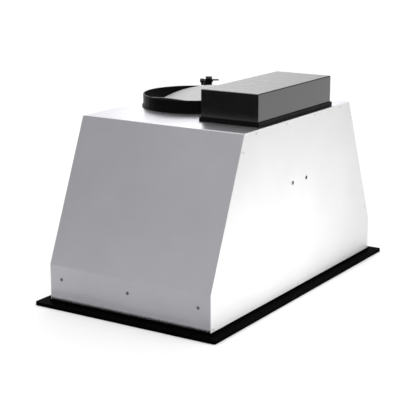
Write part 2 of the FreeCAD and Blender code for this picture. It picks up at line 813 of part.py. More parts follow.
def make_bottom_pan():
    """The underside sheet, with openings for filters, lamps and buttons."""
    body = new_body("bottom_pan")
    outer = rectangle(f"-{HALF_LENGTH}", HALF_LENGTH, f"-{HALF_DEPTH}", HALF_DEPTH)
    rim_x, rim_y = f"({HALF_LENGTH} - size.pan_rim)", f"({HALF_DEPTH} - size.pan_rim)"
    rim = rectangle(f"-{rim_x}", rim_x, f"-{rim_y}", rim_y)
    holes = round_holes(lamp_places(), "size.lamp_radius")
    holes += round_holes(button_places(), "(size.button_radius + size.button_gap)")
    holes += round_holes(pan_screw_places(), grown("size.pan_screw_radius"))
    pad(body, "XY", "size.pan_level", PAN_TOP, [outer, filter_opening(-1), filter_opening(1)], holes)
    pad(body, "XY", PAN_TOP, FLANGE_UNDER, [outer, rim])


def make_filter(side, sign):
    """A baffle filter: a channel frame with a rear tongue, two rows of baffles, and knobs."""
    middle = f"{sign} * ({OPENING_NEAR} + {OPENING_FAR}) / 2"
    half = f"(({OPENING_FAR} - {OPENING_NEAR}) / 2 - size.filter_gap)"
    front, rear = f"({OPENING_FRONT} + size.filter_gap)", f"({OPENING_REAR} - size.filter_gap)"
    skin, lip = "size.filter_gauge", "size.filter_lip"
    low, high = FILTER_LOW, f"({FILTER_LOW} + size.filter_thickness)"

    frame = new_body(f"{side}_filter_frame")
    outer = rectangle(f"-{half}", half, front, rear)

    def hollow(width):
        return rectangle(f"{width} - {half}", f"{half} - {width}", f"{front} + {width}", f"{rear} - {width}")

    knob_y = f"{front} + {lip} / 2"
    knobs = mirrored([("size.knob_spacing / 2", knob_y)])
    pad(frame, "XY", low, f"{low} + {skin}", [outer, hollow(lip)], round_holes(knobs, "size.knob_neck"))
    pad(frame, "XY", f"{low} + {skin}", f"{high} - {skin}", [outer, hollow(skin)])
    pad(frame, "XY", f"{high} - {skin}", high, [outer, hollow(lip)])
    tongue_x = f"({half} - size.tongue_inset)"
    tongue_end = f"{OPENING_REAR} + size.tongue_reach"
    tongue = rectangle(f"-{tongue_x}", tongue_x, f"{rear} - {skin}", tongue_end)
    tongue_low = f"{PAN_TOP} + size.filter_lift"
    pad(frame, "XY", tongue_low, f"{tongue_low} + {skin}", [tongue])
    nose_low = f"{PAN_TOP} + size.clip_nose_level - size.clip_window"
    nose_high = f"{PAN_TOP} + size.clip_nose_level + size.clip_gauge + size.clip_window"
    windows = []
    for turn in (-1, 1):
        centre = f"{turn} * size.clip_spacing / 2"
        reach = "(size.clip_width / 2 + size.clip_window)"
        windows.append(rectangle(f"{centre} - {reach}", f"{centre} + {reach}", nose_low, nose_high))
    pocket(frame, "XZ", front, f"{front} + {skin}", windows)
    place(frame, x=middle)

    baffles = new_body(f"{side}_filter_baffles")
    pitch = f"((2 * {half} - 2 * {skin}) / size.baffle_count)"
    first = f"({skin} - {half} + ({pitch} - size.baffle_width) / 2)"
    ends = (f"{front} + {skin}", f"{rear} - {skin}")
    floor, ceiling = f"({low} + {skin})", f"({high} - {skin})"
    lower = channel(first, floor, 1)
    upper = channel(f"({first} + {pitch} / 2)", ceiling, -1)
    low_row = pad(baffles, "XZ", *ends, [lower])
    row_of(baffles, low_row, "X_Axis", f"{pitch} * (size.baffle_count - 1)", "size.baffle_count")
    high_row = pad(baffles, "XZ", *ends, [upper])
    row_of(baffles, high_row, "X_Axis", f"{pitch} * (size.baffle_count - 2)", "size.baffle_count - 1")
    place(baffles, x=middle)

    pulls = new_body(f"{side}_filter_knobs")
    head_low = f"({low} - size.knob_height)"
    head_high = f"({head_low} + size.knob_head_height)"
    studs(pulls, "XY", knobs, "size.knob_radius", head_low, head_high, taper=KNOB_TAPER, from_low=False)
    studs(pulls, "XY", knobs, "size.knob_neck", head_high, f"{low} + {skin}")
    place(pulls, x=middle)

    clips = new_body(f"{side}_filter_clips")
    stand = f"({OPENING_FRONT} - size.clip_stand)"
    for turn in (-1, 1):
        ends = [f"{turn} * size.clip_spacing / 2 {sign_of} size.clip_width / 2" for sign_of in "-+"]
        foot = rectangle(*ends, f"{stand} - size.clip_foot", stand)
        post = rectangle(*ends, f"{stand} - size.clip_gauge", stand)
        nose = rectangle(*ends, stand, f"{front} + size.clip_nose_reach")
        nose_low = f"{PAN_TOP} + size.clip_nose_level"
        pad(clips, "XY", PAN_TOP, f"{PAN_TOP} + size.clip_gauge", [foot])
        pad(clips, "XY", f"{PAN_TOP} + size.clip_gauge", f"{nose_low} + size.clip_gauge", [post])
        pad(clips, "XY", nose_low, f"{nose_low} + size.clip_gauge", [nose])
    place(clips, x=middle)


KNOB_TAPER = 20


def channel(start, level, turn):
    """A baffle's section: a shallow channel, open upwards (1) or downwards (-1)."""
    skin = "size.filter_gauge"
    end = f"({start} + size.baffle_width)"
    rim, floor = f"{level} + {turn} * size.baffle_height", f"{level} + {turn} * {skin}"
    return [
        (start, level), (end, level), (end, rim), (f"{end} - {skin}", rim),
        (f"{end} - {skin}", floor), (f"{start} + {skin}", floor), (f"{start} + {skin}", rim), (start, rim),
    ]


def make_lamps():
    """Two round lamps: bezel under the pan, lens in the bezel, can over it."""
    level = "size.pan_level"
    low = f"({level} - size.lamp_bezel_height)"
    rim = "(size.lamp_radius + size.lamp_bezel_rim)"
    seat = "(size.lamp_lens_radius - size.lamp_lens_seat)"
    shelf = f"({low} + size.lamp_lens_lip)"
    places = lamp_places()
    bezels = new_body("lamp_bezels")
    studs(bezels, "XY", places, rim, low, level, taper=BEZEL_TAPER, from_low=False)
    pocket(bezels, "XY", low, shelf, circles=round_holes(places, seat))
    pocket(bezels, "XY", shelf, level, circles=round_holes(places, grown("size.lamp_lens_radius")))
    lenses = new_body("lamp_lenses")
    studs(lenses, "XY", places, "size.lamp_lens_radius", shelf, f"{shelf} + size.lamp_lens_thickness")
    cans = new_body("lamp_cans")
    shell = "(size.lamp_radius - size.lamp_can_gap)"
    top = f"({level} + size.lamp_can_height)"
    studs(cans, "XY", places, shell, level, top)
    pocket(cans, "XY", level, f"{top} - size.lamp_can_wall",
           circles=round_holes(places, f"({shell} - size.lamp_can_wall)"))


BEZEL_TAPER = 30


def make_switches():
    """Five push buttons under a switch block that stands on the pan."""
    flange_low = f"({PAN_TOP} + size.button_seat_gap)"
    flange_high = f"({flange_low} + size.button_flange_height)"
    stem_top = f"({flange_high} + size.button_stem_length)"
    flange = "(size.button_radius + size.button_flange_rim)"
    cavity_top = f"({flange_high} + 2 * size.button_travel)"
    half = "(2 * size.button_spacing + size.switch_block_end)"
    top = f"({PAN_TOP} + size.switch_block_height)"
    block = new_body("switch_block")
    face = rectangle(f"-{half}", half, f"{STRIP_Y} - size.switch_block_depth / 2",
                     f"{STRIP_Y} + size.switch_block_depth / 2")
    pad(block, "XY", PAN_TOP, top, [face])
    pocket(block, "XY", PAN_TOP, cavity_top,
           circles=round_holes(button_places(), f"({flange} + size.button_gap)"))
    pocket(block, "XY", cavity_top, f"{stem_top} + 2 * size.button_travel",
           circles=round_holes(button_places(), "(size.button_stem_radius + size.button_stem_gap)"))
    for name, spot in zip(BUTTONS, button_places()):
        button = new_body(f"{name}_button")
        place_here = [spot]
        studs(button, "XY", place_here, "size.button_radius", "size.pan_level - size.button_proud",
              flange_low, taper=0)
        studs(button, "XY", place_here, flange, flange_low, flange_high)
        studs(button, "XY", place_here, "size.button_stem_radius", flange_high, stem_top)


BUTTONS = ("power", "low_speed", "mid_speed", "high_speed", "light")


def make_duct_collar():
    """A moulded collar: spigot, base lip, skirt with hooks under the sheet, flap stops."""
    body = new_body("duct_collar")
    radius, inner = "size.collar_radius", COLLAR_INNER
    lip, lip_low = "(size.collar_radius + size.collar_lip)", "size.gasket_height"
    lip_high = "(size.gasket_height + size.collar_lip_height)"
    rim = "size.collar_height"
    revolve(body, "XZ", "V_Axis", [
        (inner, "-size.skirt_depth"), (radius, "-size.skirt_depth"), (radius, lip_low), (lip, lip_low),
        (lip, lip_high), (radius, lip_high), (radius, f"{rim} - size.collar_chamfer"),
        (f"{radius} - size.collar_chamfer", rim), (inner, rim),
    ])
    hook_top = f"-({GAUGE} + size.outlet_gauge)"
    straight_hook = rectangle(
        f"({radius} - size.collar_wall / 2)", f"({radius} + size.hook_reach)",
        "(-size.hook_width / 2)", "(size.hook_width / 2)")
    hook = [
        (f"({reach} - {across}) / sqrt(2)", f"({reach} + {across}) / sqrt(2)")
        for reach, across in straight_hook
    ]
    hook_pad = pad(body, "XY", f"{hook_top} - size.hook_height", hook_top, [hook])
    polar(body, hook_pad, "Z_Axis", "4")
    stop_end = f"({inner} - size.stop_reach)"
    stop_z = (f"{stop_end} * tan(size.damper_rest * 1 deg) - size.axle_drop - size.stop_radius"
              f" - size.stop_gap - size.flap_gauge / 2 / cos(size.damper_rest * 1 deg)")
    for sign in (-1, 1):
        ends = (stop_end, f"{inner} + size.collar_wall / 2")
        low, high = ends if sign > 0 else (f"-({ends[1]})", f"-({ends[0]})")
        pad(body, "YZ", low, high, circles=[("0", stop_z, "size.stop_radius")])
    bore = [("0", "-size.axle_drop", "size.axle_radius")]
    pocket(body, "XZ", f"-{radius} - {GAUGE}", f"{radius} + {GAUGE}", circles=bore)
    place(body, y=COLLAR_Y, z=ROOF)

    gasket = new_body("collar_gasket")
    revolve(gasket, "XZ", "V_Axis",
            [(COLLAR_HOLE, "0"), (lip, "0"),
             (lip, "size.gasket_height"), (COLLAR_HOLE, "size.gasket_height")])
    place(gasket, y=COLLAR_Y, z=ROOF)

    axle = new_body("damper_axle")
    reach = f"({radius} - size.collar_wall / 4)"
    pad(axle, "XZ", f"-{reach}", reach, circles=[("0", "0", "size.axle_radius")])
    place(axle, y=COLLAR_Y, z=f"{ROOF} - size.axle_drop")


def make_damper_flap(label, side, zones):
    """Half of the butterfly damper: a plate with knuckles on the axle, trimmed to the collar."""
    reach = f"({COLLAR_INNER} - size.flap_gap)"
    zone = f"(2 * {reach} / size.knuckle_count)"
    plate_start = "(size.knuckle_radius + size.knuckle_gap)"
    half_gauge = "size.flap_gauge / 2"
    outer = f"{reach} / cos(size.damper_rest * 1 deg)"
    blank = new_body(f"{label}_blank", keep=False)
    ends = [f"{side} * {plate_start}", f"{side} * ({outer})"]
    pad(blank, "XY", f"-{half_gauge}", half_gauge, [rectangle(*ends, f"-{reach}", reach)])
    for index in zones:
        low = f"({index} * {zone} - {reach} + size.knuckle_gap / 2)"
        high = f"({index} * {zone} + {zone} - {reach} - size.knuckle_gap / 2)"
        pad(blank, "XZ", low, high, circles=[("0", "0", "size.knuckle_radius")])
        web = rectangle("0", f"{side} * ({plate_start} + {half_gauge})", low, high)
        pad(blank, "XY", f"-{half_gauge}", half_gauge, [web])
    pocket(blank, "XZ", f"-{reach} - {GAUGE}", f"{reach} + {GAUGE}",
           circles=[("0", "0", "(size.axle_radius + size.running_fit)")])
    turn(blank, Vector(0, -side, 0), "size.damper_rest")
    place(blank, y=COLLAR_Y, z=f"{ROOF} - size.axle_drop")
    trim = doc.addObject("Part::Cylinder", f"{label}_trim")
    bind(trim, Radius=reach, Height=f"2 * {reach}")
    place(trim, y=COLLAR_Y, z=f"{ROOF} - size.axle_drop - size.knuckle_radius * 2")
    flap = doc.addObject("Part::Common", label)
    flap.Base = blank
    flap.Tool = trim
    nodes.append(flap)


def make_electrical_box():
    """A shallow tray and a folded cover that stands in it, screwed from behind."""
    half, lip = BOX_HALF, "size.box_lip"
    top = f"({ROOF} + size.box_height)"
    grommets = round_holes(lead_places(), grown("size.grommet_radius"))
    tab_face = f"({BOX_REAR} - size.box_wall)"
    tab_back = f"({tab_face} - size.box_wall)"
    screws = mirrored([("size.box_screw_spacing / 2", f"{BOX_FLOOR} + size.box_screw_level")])
    screw_holes = round_holes(screws, grown("size.box_screw_radius"))

    base = new_body("electrical_box_base")
    plate = rectangle(f"-{half} - {lip}", f"{half} + {lip}", f"{BOX_FRONT} - {lip}", f"{BOX_REAR} + {lip}")
    pad(base, "XY", ROOF, BOX_FLOOR, [plate], grommets)
    inset = f"({lip} - size.box_wall)"
    tray = rectangle(f"-{half} - {inset}", f"{half} + {inset}",
                     f"{BOX_FRONT} - {inset}", f"{BOX_REAR} + {inset}")
    pad(base, "XY", BOX_FLOOR, f"{ROOF} + size.box_rim", [plate, tray])
    tab = rectangle("-size.box_tab_length / 2", "size.box_tab_length / 2", BOX_FLOOR,
                    f"{BOX_FLOOR} + size.box_tab_height")
    pad(base, "XZ", tab_back, tab_face, [tab], screw_holes)
    studs(base, "XY", board_posts(), "size.board_post_radius", BOX_FLOOR, f"{BOX_FLOOR} + size.board_post")

    cover = new_body("electrical_box_cover")
    wall = "size.box_wall"
    outer = rectangle(f"-{half}", half, BOX_FRONT, BOX_REAR)
    inner = rectangle(f"{wall} - {half}", f"{half} - {wall}", f"{BOX_FRONT} + {wall}", f"{BOX_REAR} - {wall}")
    bend_top(cover, pad(cover, "XY", BOX_FLOOR, top, [outer]), top, "size.box_bend")
    pocket(cover, "XY", BOX_FLOOR, f"{top} - {wall}", [inner])
    pocket(cover, "XZ", tab_face, BOX_REAR, circles=screw_holes)

    fasteners = new_body("electrical_box_screws")
    studs(fasteners, "XZ", screws, "size.box_screw_head", BOX_REAR,
          f"{BOX_REAR} + size.box_screw_head_height", taper=KNOB_TAPER, from_low=True)
    studs(fasteners, "XZ", screws, "size.box_screw_radius", f"{BOX_REAR} - size.box_screw_length", BOX_REAR)


def board_posts():
    """Corners of the control board, where posts carry it."""
    middle = f"{LEAD_Y} - size.board_offset"
    reach_x = "(size.board_length / 2 - size.board_post_inset)"
    reach_y = f"({BOARD_DEPTH} / 2 - size.board_post_inset)"
    return [(f"{a} * {reach_x}", f"{middle} + {b} * {reach_y}") for a in (-1, 1) for b in (-1, 1)]


def make_electronics():
    """Control board, transformer, terminal block and run capacitor in the electrical box."""
    middle = f"({LEAD_Y} - size.board_offset)"
    level = f"({BOX_FLOOR} + size.board_post)"
    board = new_body("control_board")
    sheet_outline = rectangle("-size.board_length / 2", "size.board_length / 2",
                              f"{middle} - {BOARD_DEPTH} / 2", f"{middle} + {BOARD_DEPTH} / 2")
    pad(board, "XY", level, f"{level} + size.board_gauge", [sheet_outline])
    relay_top = f"{level} + size.board_gauge + size.terminal_height"
    for step in (-1, 0, 1):
        centre = f"{step} * size.board_length / 4"
        relay = rectangle(f"{centre} - size.terminal_depth / 3", f"{centre} + size.terminal_depth / 3",
                          f"{middle} - size.terminal_depth", middle)
        pad(board, "XY", f"{level} + size.board_gauge", relay_top, [relay])

    transformer = new_body("transformer")
    core = rectangle("-size.transformer_length / 2", "size.transformer_length / 2",
                     "-size.transformer_depth / 4", "size.transformer_depth / 4")
    pad(transformer, "XY", "0", "size.transformer_height", [core])
    coil = rectangle("-size.transformer_length / 3", "size.transformer_length / 3",
                     "-size.transformer_depth / 2", "size.transformer_depth / 2")
    pad(transformer, "XY", "size.transformer_height / 6", "size.transformer_height * 5 / 6", [coil])
    place(transformer, x="-size.transformer_offset", y=LEAD_Y, z=BOX_FLOOR)

    block = new_body("terminal_block")
    body = rectangle("-size.terminal_length / 2", "size.terminal_length / 2",
                     "-size.terminal_depth / 2", "size.terminal_depth / 2")
    pad(block, "XY", "0", "size.terminal_height", [body])
    pitch = "(size.terminal_length / size.terminal_ways)"
    wells = pocket(block, "XY", "size.terminal_height - size.terminal_screw_depth", "size.terminal_height",
                   circles=[(f"{pitch} / 2 - size.terminal_length / 2", "0", "size.terminal_screw_radius")])
    row_of(block, wells, "X_Axis", f"{pitch} * (size.terminal_ways - 1)", "size.terminal_ways")
    place(block, x="size.terminal_offset", y=f"{BOX_FRONT} + size.terminal_setback", z=BOX_FLOOR)

    capacitor = new_body("run_capacitor")
    half = "size.capacitor_length / 2"
    pad(capacitor, "YZ", f"-{half}", half, circles=[("0", "size.capacitor_radius", "size.capacitor_radius")])
    place(capacitor, x="size.capacitor_offset + size.capacitor_length / 2",
          y=f"{BOX_REAR} - size.box_wall - size.capacitor_gap - size.capacitor_radius", z=BOX_FLOOR)


def make_leads():
    """Grommets through the box and the top, and the leads that hang from them to motor and switches."""
    grommets = new_body("wire_grommets")
    places, bore = lead_places(), "size.grommet_bore"
    rim = "(size.grommet_radius + size.grommet_rim)"
    under = f"({ROOF} - {GAUGE})"
    holes = round_holes(places, bore)
    layers = [
        (rim, f"{under} - size.grommet_rim_height", under),
        ("size.grommet_radius", under, BOX_FLOOR),
        (rim, BOX_FLOOR, f"{BOX_FLOOR} + size.grommet_rim_height"),
    ]
    for radius, low, high in layers:
        pad(grommets, "XY", low, high, circles=round_holes(places, radius) + holes)

    top = f"({BOX_FLOOR} + size.grommet_rim_height)"
    leads = new_body("inner_leads")
    bend, low = "size.switch_lead_bend", f"({PAN_TOP} + size.switch_block_height / 2)"
    block_end = "(-2 * size.button_spacing - size.switch_block_end)"
    lead(leads, "XZ", STRIP_Y, (SWITCH_LEAD_X, STRIP_Y), [
        (SWITCH_LEAD_X, top), (SWITCH_LEAD_X, f"{low} + {bend}"), (f"{SWITCH_LEAD_X} + {bend}", low, bend, 1),
        (block_end, low)])
    bend, motor_side = "size.lead_bend", f"({FAN_Y} - size.motor_radius)"
    lead(leads, "YZ", MOTOR_LEAD_X, (MOTOR_LEAD_X, LEAD_Y), [
        (LEAD_Y, top), (LEAD_Y, f"{FAN_Z} + {bend}"), (f"{LEAD_Y} + {bend}", FAN_Z, bend, 1),
        (motor_side, FAN_Z)])


def lead(body, plane, level, start, route):
    """A round lead along a route in one plane, from a start that is seen from above."""
    path = new_sketch(body, plane, level)
    draw_open_path(path, route)
    section = new_sketch(body, "XY", route[0][1])
    draw_circle(section, *start, "size.lead_radius")
    pipe = body.newObject("PartDesign::AdditivePipe", f"{body.Name}_pipe")
    pipe.Profile = section
    pipe.Spine = path
    body.Tip = pipe


def draw_open_path(sketch, corners):
    """An open path of lines and arcs, with every corner tied to the sheet."""
    spots = [Vector(value(corner[0]), value(corner[1]), 0) for corner in corners]
    joint = None
    for index in range(1, len(corners)):
        corner = corners[index]
        if len(corner) == 2:
            segment = sketch.addGeometry(Part.LineSegment(spots[index - 1], spots[index]), False)
        else:
            arc = arc_between(spots[index - 1], spots[index], value(corner[2]), corner[3])
            segment = sketch.addGeometry(arc, False)
            pin_radius(sketch, segment, corner[2])
        if joint is None:
            pin_point(sketch, segment, 1, *corners[0])
        else:
            sketch.addConstraint(Sketcher.Constraint("Coincident", joint, 2, segment, 1))
        pin_point(sketch, segment, 2, corner[0], corner[1])
        joint = segment


def make_cable_clamp():
    """A two-screw clamp for the supply cable: body with nipple, bar, screws and nut."""
    half, bore = "(size.clamp_length / 2)", "size.clamp_bore"
    jaw_face, bar_face = "(-size.clamp_throat / 2)", "(size.clamp_throat / 2)"
    jaw_back, bar_back = f"({jaw_face} - size.clamp_jaw)", f"({bar_face} + size.clamp_bar)"
    screws = mirrored([("size.clamp_screw_spacing / 2", "size.clamp_screw_level")])
    holes = round_holes(screws, grown("size.clamp_screw_radius"))
    throat = [("0", "0", "size.clamp_groove")]

    body = new_body("cable_clamp_body")
    ring = [("0", "0", "size.clamp_base_radius")]
    pad(body, "XY", "0", "size.clamp_base_height", circles=ring)
    pad(body, "XY", "-size.clamp_nipple_depth", "0", circles=[("0", "0", "size.clamp_nipple_radius")])
    jaw = rectangle(f"-{half}", half, jaw_back, jaw_face)
    pad(body, "XY", "size.clamp_base_height", "size.clamp_top", [jaw])
    neck = rectangle(f"-{half}", half, jaw_back, "size.clamp_neck")
    pad(body, "XY", "size.clamp_base_height", "size.clamp_neck_top", [neck])
    pocket(body, "XY", "-size.clamp_nipple_depth", "size.clamp_base_height", circles=[("0", "0", bore)])
    pocket(body, "XY", "size.clamp_base_height", "size.clamp_top", circles=throat)
    pocket(body, "XZ", jaw_back, jaw_face, circles=holes)

    bar = new_body("cable_clamp_bar")
    block = rectangle(f"-{half}", half, bar_face, bar_back)
    pad(bar, "XY", "size.clamp_bar_low", "size.clamp_bar_high", [block])
    pocket(bar, "XY", "size.clamp_bar_low", "size.clamp_bar_high", circles=throat)
    pocket(bar, "XZ", bar_face, bar_back, circles=holes)

    fasteners = new_body("cable_clamp_screws")
    studs(fasteners, "XZ", screws, "size.clamp_screw_head", bar_back,
          f"{bar_back} + size.clamp_screw_head_height", taper=KNOB_TAPER, from_low=True)
    for screw, tip in zip(screws, ("size.clamp_short_tip", "size.clamp_screw_tip")):
        studs(fasteners, "XZ", [screw], "size.clamp_screw_radius", f"{jaw_back} - {tip}", bar_back)

    nut = new_body("cable_clamp_nut")
    pad(nut, "XY", f"-{GAUGE} - size.clamp_nut_height", f"-{GAUGE}",
        circles=[("0", "0", "size.clamp_nut_radius"), ("0", "0", grown("size.clamp_nipple_radius"))])
    for piece in (body, bar, fasteners, nut):
        turn(piece, Vector(0, 0, 1), "size.clamp_turn")
        place(piece, x=CLAMP_X, y=CLAMP_Y, z=ROOF)


def scroll_path(offset):
    """The scroll seen from the right: outlet front wall, three growing arcs, outlet rear wall."""
    shift = "size.scroll_growth / 2"
    front = f"({OUTLET_FRONT} - {offset})"
    first, second, third = [
        f"(size.scroll_radius + {step} * size.scroll_growth + {offset})" for step in range(3)
    ]
    near, far = f"({FAN_Y} - {shift})", f"({FAN_Y} + {shift})"
    low, high = f"({FAN_Z} - {shift})", f"({FAN_Z} + {shift})"
    tongue = f"({low} + sqrt({first} ^ 2 - ({front} - {near}) ^ 2))"
    return [
        (front, SCROLL_TOP), (front, tongue), (f"({near} - {first})", low, first, 1),
        (far, f"({low} - {second})", second, 1), (f"({far} + {third})", high, third, 1),
        (f"({OUTLET_REAR} + {offset})", SCROLL_TOP),
    ]


def bracket_screw_places():
    spots = []
    for step in range(int(SIZES["bracket_arms"])):
        angle = f"({step} * 360 / size.bracket_arms * 1 deg)"
        spots.append((f"{FAN_Y} + size.bracket_screw_circle * cos({angle})",
                      f"{FAN_Z} + size.bracket_screw_circle * sin({angle})"))
    return spots


def make_blower_housing():
    """Scroll wrap, two side plates with inlets, outlet frame and the screws."""
    wrap = new_body("scroll_wrap")
    sheet_edge = strip(scroll_path("size.scroll_gauge"), scroll_path("0"))
    pad(wrap, "YZ", f"-{OUTLET_HALF}", OUTLET_HALF, [sheet_edge])
    inlet = (FAN_Y, FAN_Z, "size.inlet_radius")
    lip = (FAN_Y, FAN_Z, "(size.inlet_radius + size.scroll_gauge)")
    for label, sign in (("scroll_left_plate", -1), ("scroll_right_plate", 1)):
        plate = new_body(label)
        near, far = OUTLET_HALF, SIDE_PLATE
        low, high = (near, far) if sign > 0 else (f"-{far}", f"-{near}")
        holes = round_holes(bracket_screw_places(), grown("size.blower_screw_radius")) if sign > 0 else []
        pad(plate, "YZ", low, high, [scroll_path("size.scroll_gauge")], [inlet] + holes)
        deep = f"({OUTLET_HALF} - size.inlet_lip)"
        low, high = (deep, near) if sign > 0 else (f"-{near}", f"-{deep}")
        pad(plate, "YZ", low, high, circles=[lip, inlet])

    frame = new_body("outlet_frame")
    reach = f"({OUTLET_HALF} + size.outlet_rim)"
    sheet_outline = rectangle(f"-{reach}", reach, f"{COLLAR_Y} - {reach}", f"{COLLAR_Y} + {reach}")
    holes = round_holes(outlet_screw_places(), grown("size.blower_screw_radius"))
    pad(frame, "XY", SCROLL_TOP, OUTLET_TOP, [sheet_outline], [("0", COLLAR_Y, COLLAR_HOLE)] + holes)

    screws = new_body("blower_screws")
    studs(screws, "XY", outlet_screw_places(), "size.blower_screw_head",
          f"{SCROLL_TOP} - size.blower_screw_head_height", SCROLL_TOP, taper=KNOB_TAPER, from_low=False)
    studs(screws, "XY", outlet_screw_places(), "size.blower_screw_radius", SCROLL_TOP, ROOF)
    head = f"({SIDE_PLATE} + size.bracket_gauge)"
    studs(screws, "YZ", bracket_screw_places(), "size.blower_screw_head", head,
          f"{head} + size.blower_screw_head_height", taper=KNOB_TAPER, from_low=True)
    studs(screws, "YZ", bracket_screw_places(), "size.blower_screw_radius", OUTLET_HALF, head)


def make_motor():
    """The motor on its spider: bracket, two bells, stator, bearings, rotor and shaft."""
    front, split = f"({SIDE_PLATE} - size.motor_reach)", f"({SIDE_PLATE} - size.motor_split)"
    rear = f"({SIDE_PLATE} + size.motor_tail)"
    core_front, core_rear = f"({SIDE_PLATE} - size.stator_reach)", SIDE_PLATE
    radius, wall = "size.motor_radius", "size.motor_wall"
    seat = "size.bearing_radius"
    boss = "(size.bearing_radius + size.bearing_boss)"
    ledge = f"({SIDE_PLATE} + size.bracket_gauge)"
    flange, flange_end = f"({radius} + size.motor_flange)", f"({ledge} + size.motor_flange_gauge)"
    inside = f"({radius} - {wall})"

    bracket = new_body("motor_bracket")
    ring = f"({radius} + size.bracket_ring)"
    hole = f"({radius} + size.motor_fit)"
    low, high = SIDE_PLATE, ledge
    pad(bracket, "YZ", low, high, circles=[("0", "0", ring), ("0", "0", hole)])
    arm = rectangle(f"({radius} + size.bracket_ring / 2)", "size.bracket_arm_reach",
                    "-size.bracket_arm_width / 2", "size.bracket_arm_width / 2")
    arm_pad = pad(bracket, "YZ", low, high, [arm],
                  [("size.bracket_screw_circle", "0", grown("size.blower_screw_radius"))])
    polar(bracket, arm_pad, "X_Axis", "size.bracket_arms")

    front_bell = new_body("motor_front_bell")
    nose = f"({front} + size.bearing_length)"
    revolve(front_bell, "XZ", "H_Axis", [
        (front, seat), (nose, seat), (nose, boss), (f"{front} + {wall}", boss),
        (f"{front} + {wall}", inside), (split, inside), (split, radius), (front, radius),
    ])
    rear_bell = new_body("motor_rear_bell")
    tail = f"({rear} - size.bearing_length)"
    revolve(rear_bell, "XZ", "H_Axis", [
        (rear, seat), (rear, radius), (flange_end, radius), (flange_end, flange), (ledge, flange),
        (ledge, radius), (split, radius), (split, inside), (f"{rear} - {wall}", inside),
        (f"{rear} - {wall}", boss), (tail, boss), (tail, seat),
    ])
    stator = new_body("motor_stator")
    stator_ring = [("0", "0", inside), ("0", "0", "size.stator_inner")]
    pad(stator, "YZ", core_front, core_rear, circles=stator_ring)

    bearings = new_body("motor_bearings")
    ring = [("0", "0", "size.bearing_radius"), ("0", "0", "(size.shaft_radius + size.running_fit)")]
    pad(bearings, "YZ", front, nose, circles=ring)
    pad(bearings, "YZ", tail, rear, circles=ring)

    rotor = new_body("motor_rotor")
    pad(rotor, "YZ", core_front, core_rear,
        circles=[("0", "0", "(size.stator_inner - size.rotor_gap)"), ("0", "0", "size.shaft_radius")])
    shaft = new_body("motor_shaft")
    pad(shaft, "YZ", "-size.hub_half_length - size.shaft_overhang", f"{rear} + size.shaft_overhang",
        circles=[("0", "0", "size.shaft_radius")])
    for piece in (bracket, front_bell, rear_bell, stator, bearings, rotor, shaft):
        place(piece, y=FAN_Y, z=FAN_Z)


def make_impeller():
    """A double-inlet wheel: disc, hub, two end rings and curved blades."""
    wheel = new_body("impeller")
    radius, half = "size.wheel_radius", f"({OUTLET_HALF} - size.wheel_side_gap)"
    shaft = ("0", "0", "size.shaft_radius")
    disc = "size.wheel_disc_gauge / 2"
    pad(wheel, "YZ", f"-{disc}", disc, circles=[("0", "0", radius), shaft])
    hub = [("0", "0", "size.hub_radius"), shaft]
    pad(wheel, "YZ", "-size.hub_half_length", "size.hub_half_length", circles=hub)
    ring = [("0", "0", radius), ("0", "0", f"({radius} - size.wheel_ring)")]
    pad(wheel, "YZ", f"{half} - size.wheel_ring_gauge", half, circles=ring)
    pad(wheel, "YZ", f"-{half}", f"size.wheel_ring_gauge - {half}", circles=ring)
    inner = f"({radius} - size.blade_depth)"
    thick, lean, curve = "size.blade_gauge / 2", "size.blade_lean", "size.blade_curve"
    tip = f"({radius} - {thick})"
    blade = [
        (f"-{thick}", inner), (thick, inner), (f"{lean} + {thick}", tip, curve, -1),
        (f"{lean} - {thick}", tip), (f"-{thick}", inner, curve, 1),
    ][1:]
    blade_pad = pad(wheel, "YZ", f"-{half}", half, [blade])
    polar(wheel, blade_pad, "X_Axis", "size.blade_count")
    place(wheel, y=FAN_Y, z=FAN_Z)


def check_and_export():
    """Stop on any failed object, idle cut or bad shape, then write each piece to its own file."""
    doc.recompute()
    for item in doc.Objects:
        if "Invalid" in item.State or "Error" in item.State:
            raise RuntimeError(f"{item.Label} failed: {item.State}")
    for feature in pockets:
        if feature.Shape.Volume >= feature.BaseFeature.Shape.Volume - 1e-3:
            raise RuntimeError(f"{feature.Label} cuts nothing")
    for node in nodes:
        if node.Shape.isNull() or not node.Shape.isValid() or not node.Shape.Solids:
            raise RuntimeError(f"{node.Label} has no valid shape")
    os.makedirs("parts", exist_ok=True)
    for node in nodes:
        node.Shape.exportStep(f"parts/{node.Label}.step")
        box = node.Shape.BoundBox
        print(f"{node.Label:24s} solids {len(node.Shape.Solids):3d}  volume {node.Shape.Volume:12.1f}"
              f"  x {box.XMin:8.2f} {box.XMax:8.2f}  y {box.YMin:8.2f} {box.YMax:8.2f}"
              f"  z {box.ZMin:8.2f} {box.ZMax:8.2f}")
    print(f"{len(nodes)} nodes")


make_canopy_wrap()
make_panels()
make_base_angles()
make_mounting_rails()
make_mounting_flange()
make_rivets()
make_pan_screws()
make_bottom_pan()
make_filter("left", -1)
make_filter("right", 1)
make_lamps()
make_switches()
make_duct_collar()
make_damper_flap("left_damper_flap", -1, (1, 3))
make_damper_flap("right_damper_flap", 1, (0, 2, 4))
make_electrical_box()
make_electronics()
make_leads()
make_cable_clamp()
make_blower_housing()
make_motor()
make_impeller()
check_and_export()
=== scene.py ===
"""Looks, light and camera for the range hood insert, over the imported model."""

import math

import bmesh
import bpy
from mathutils import Matrix, Vector


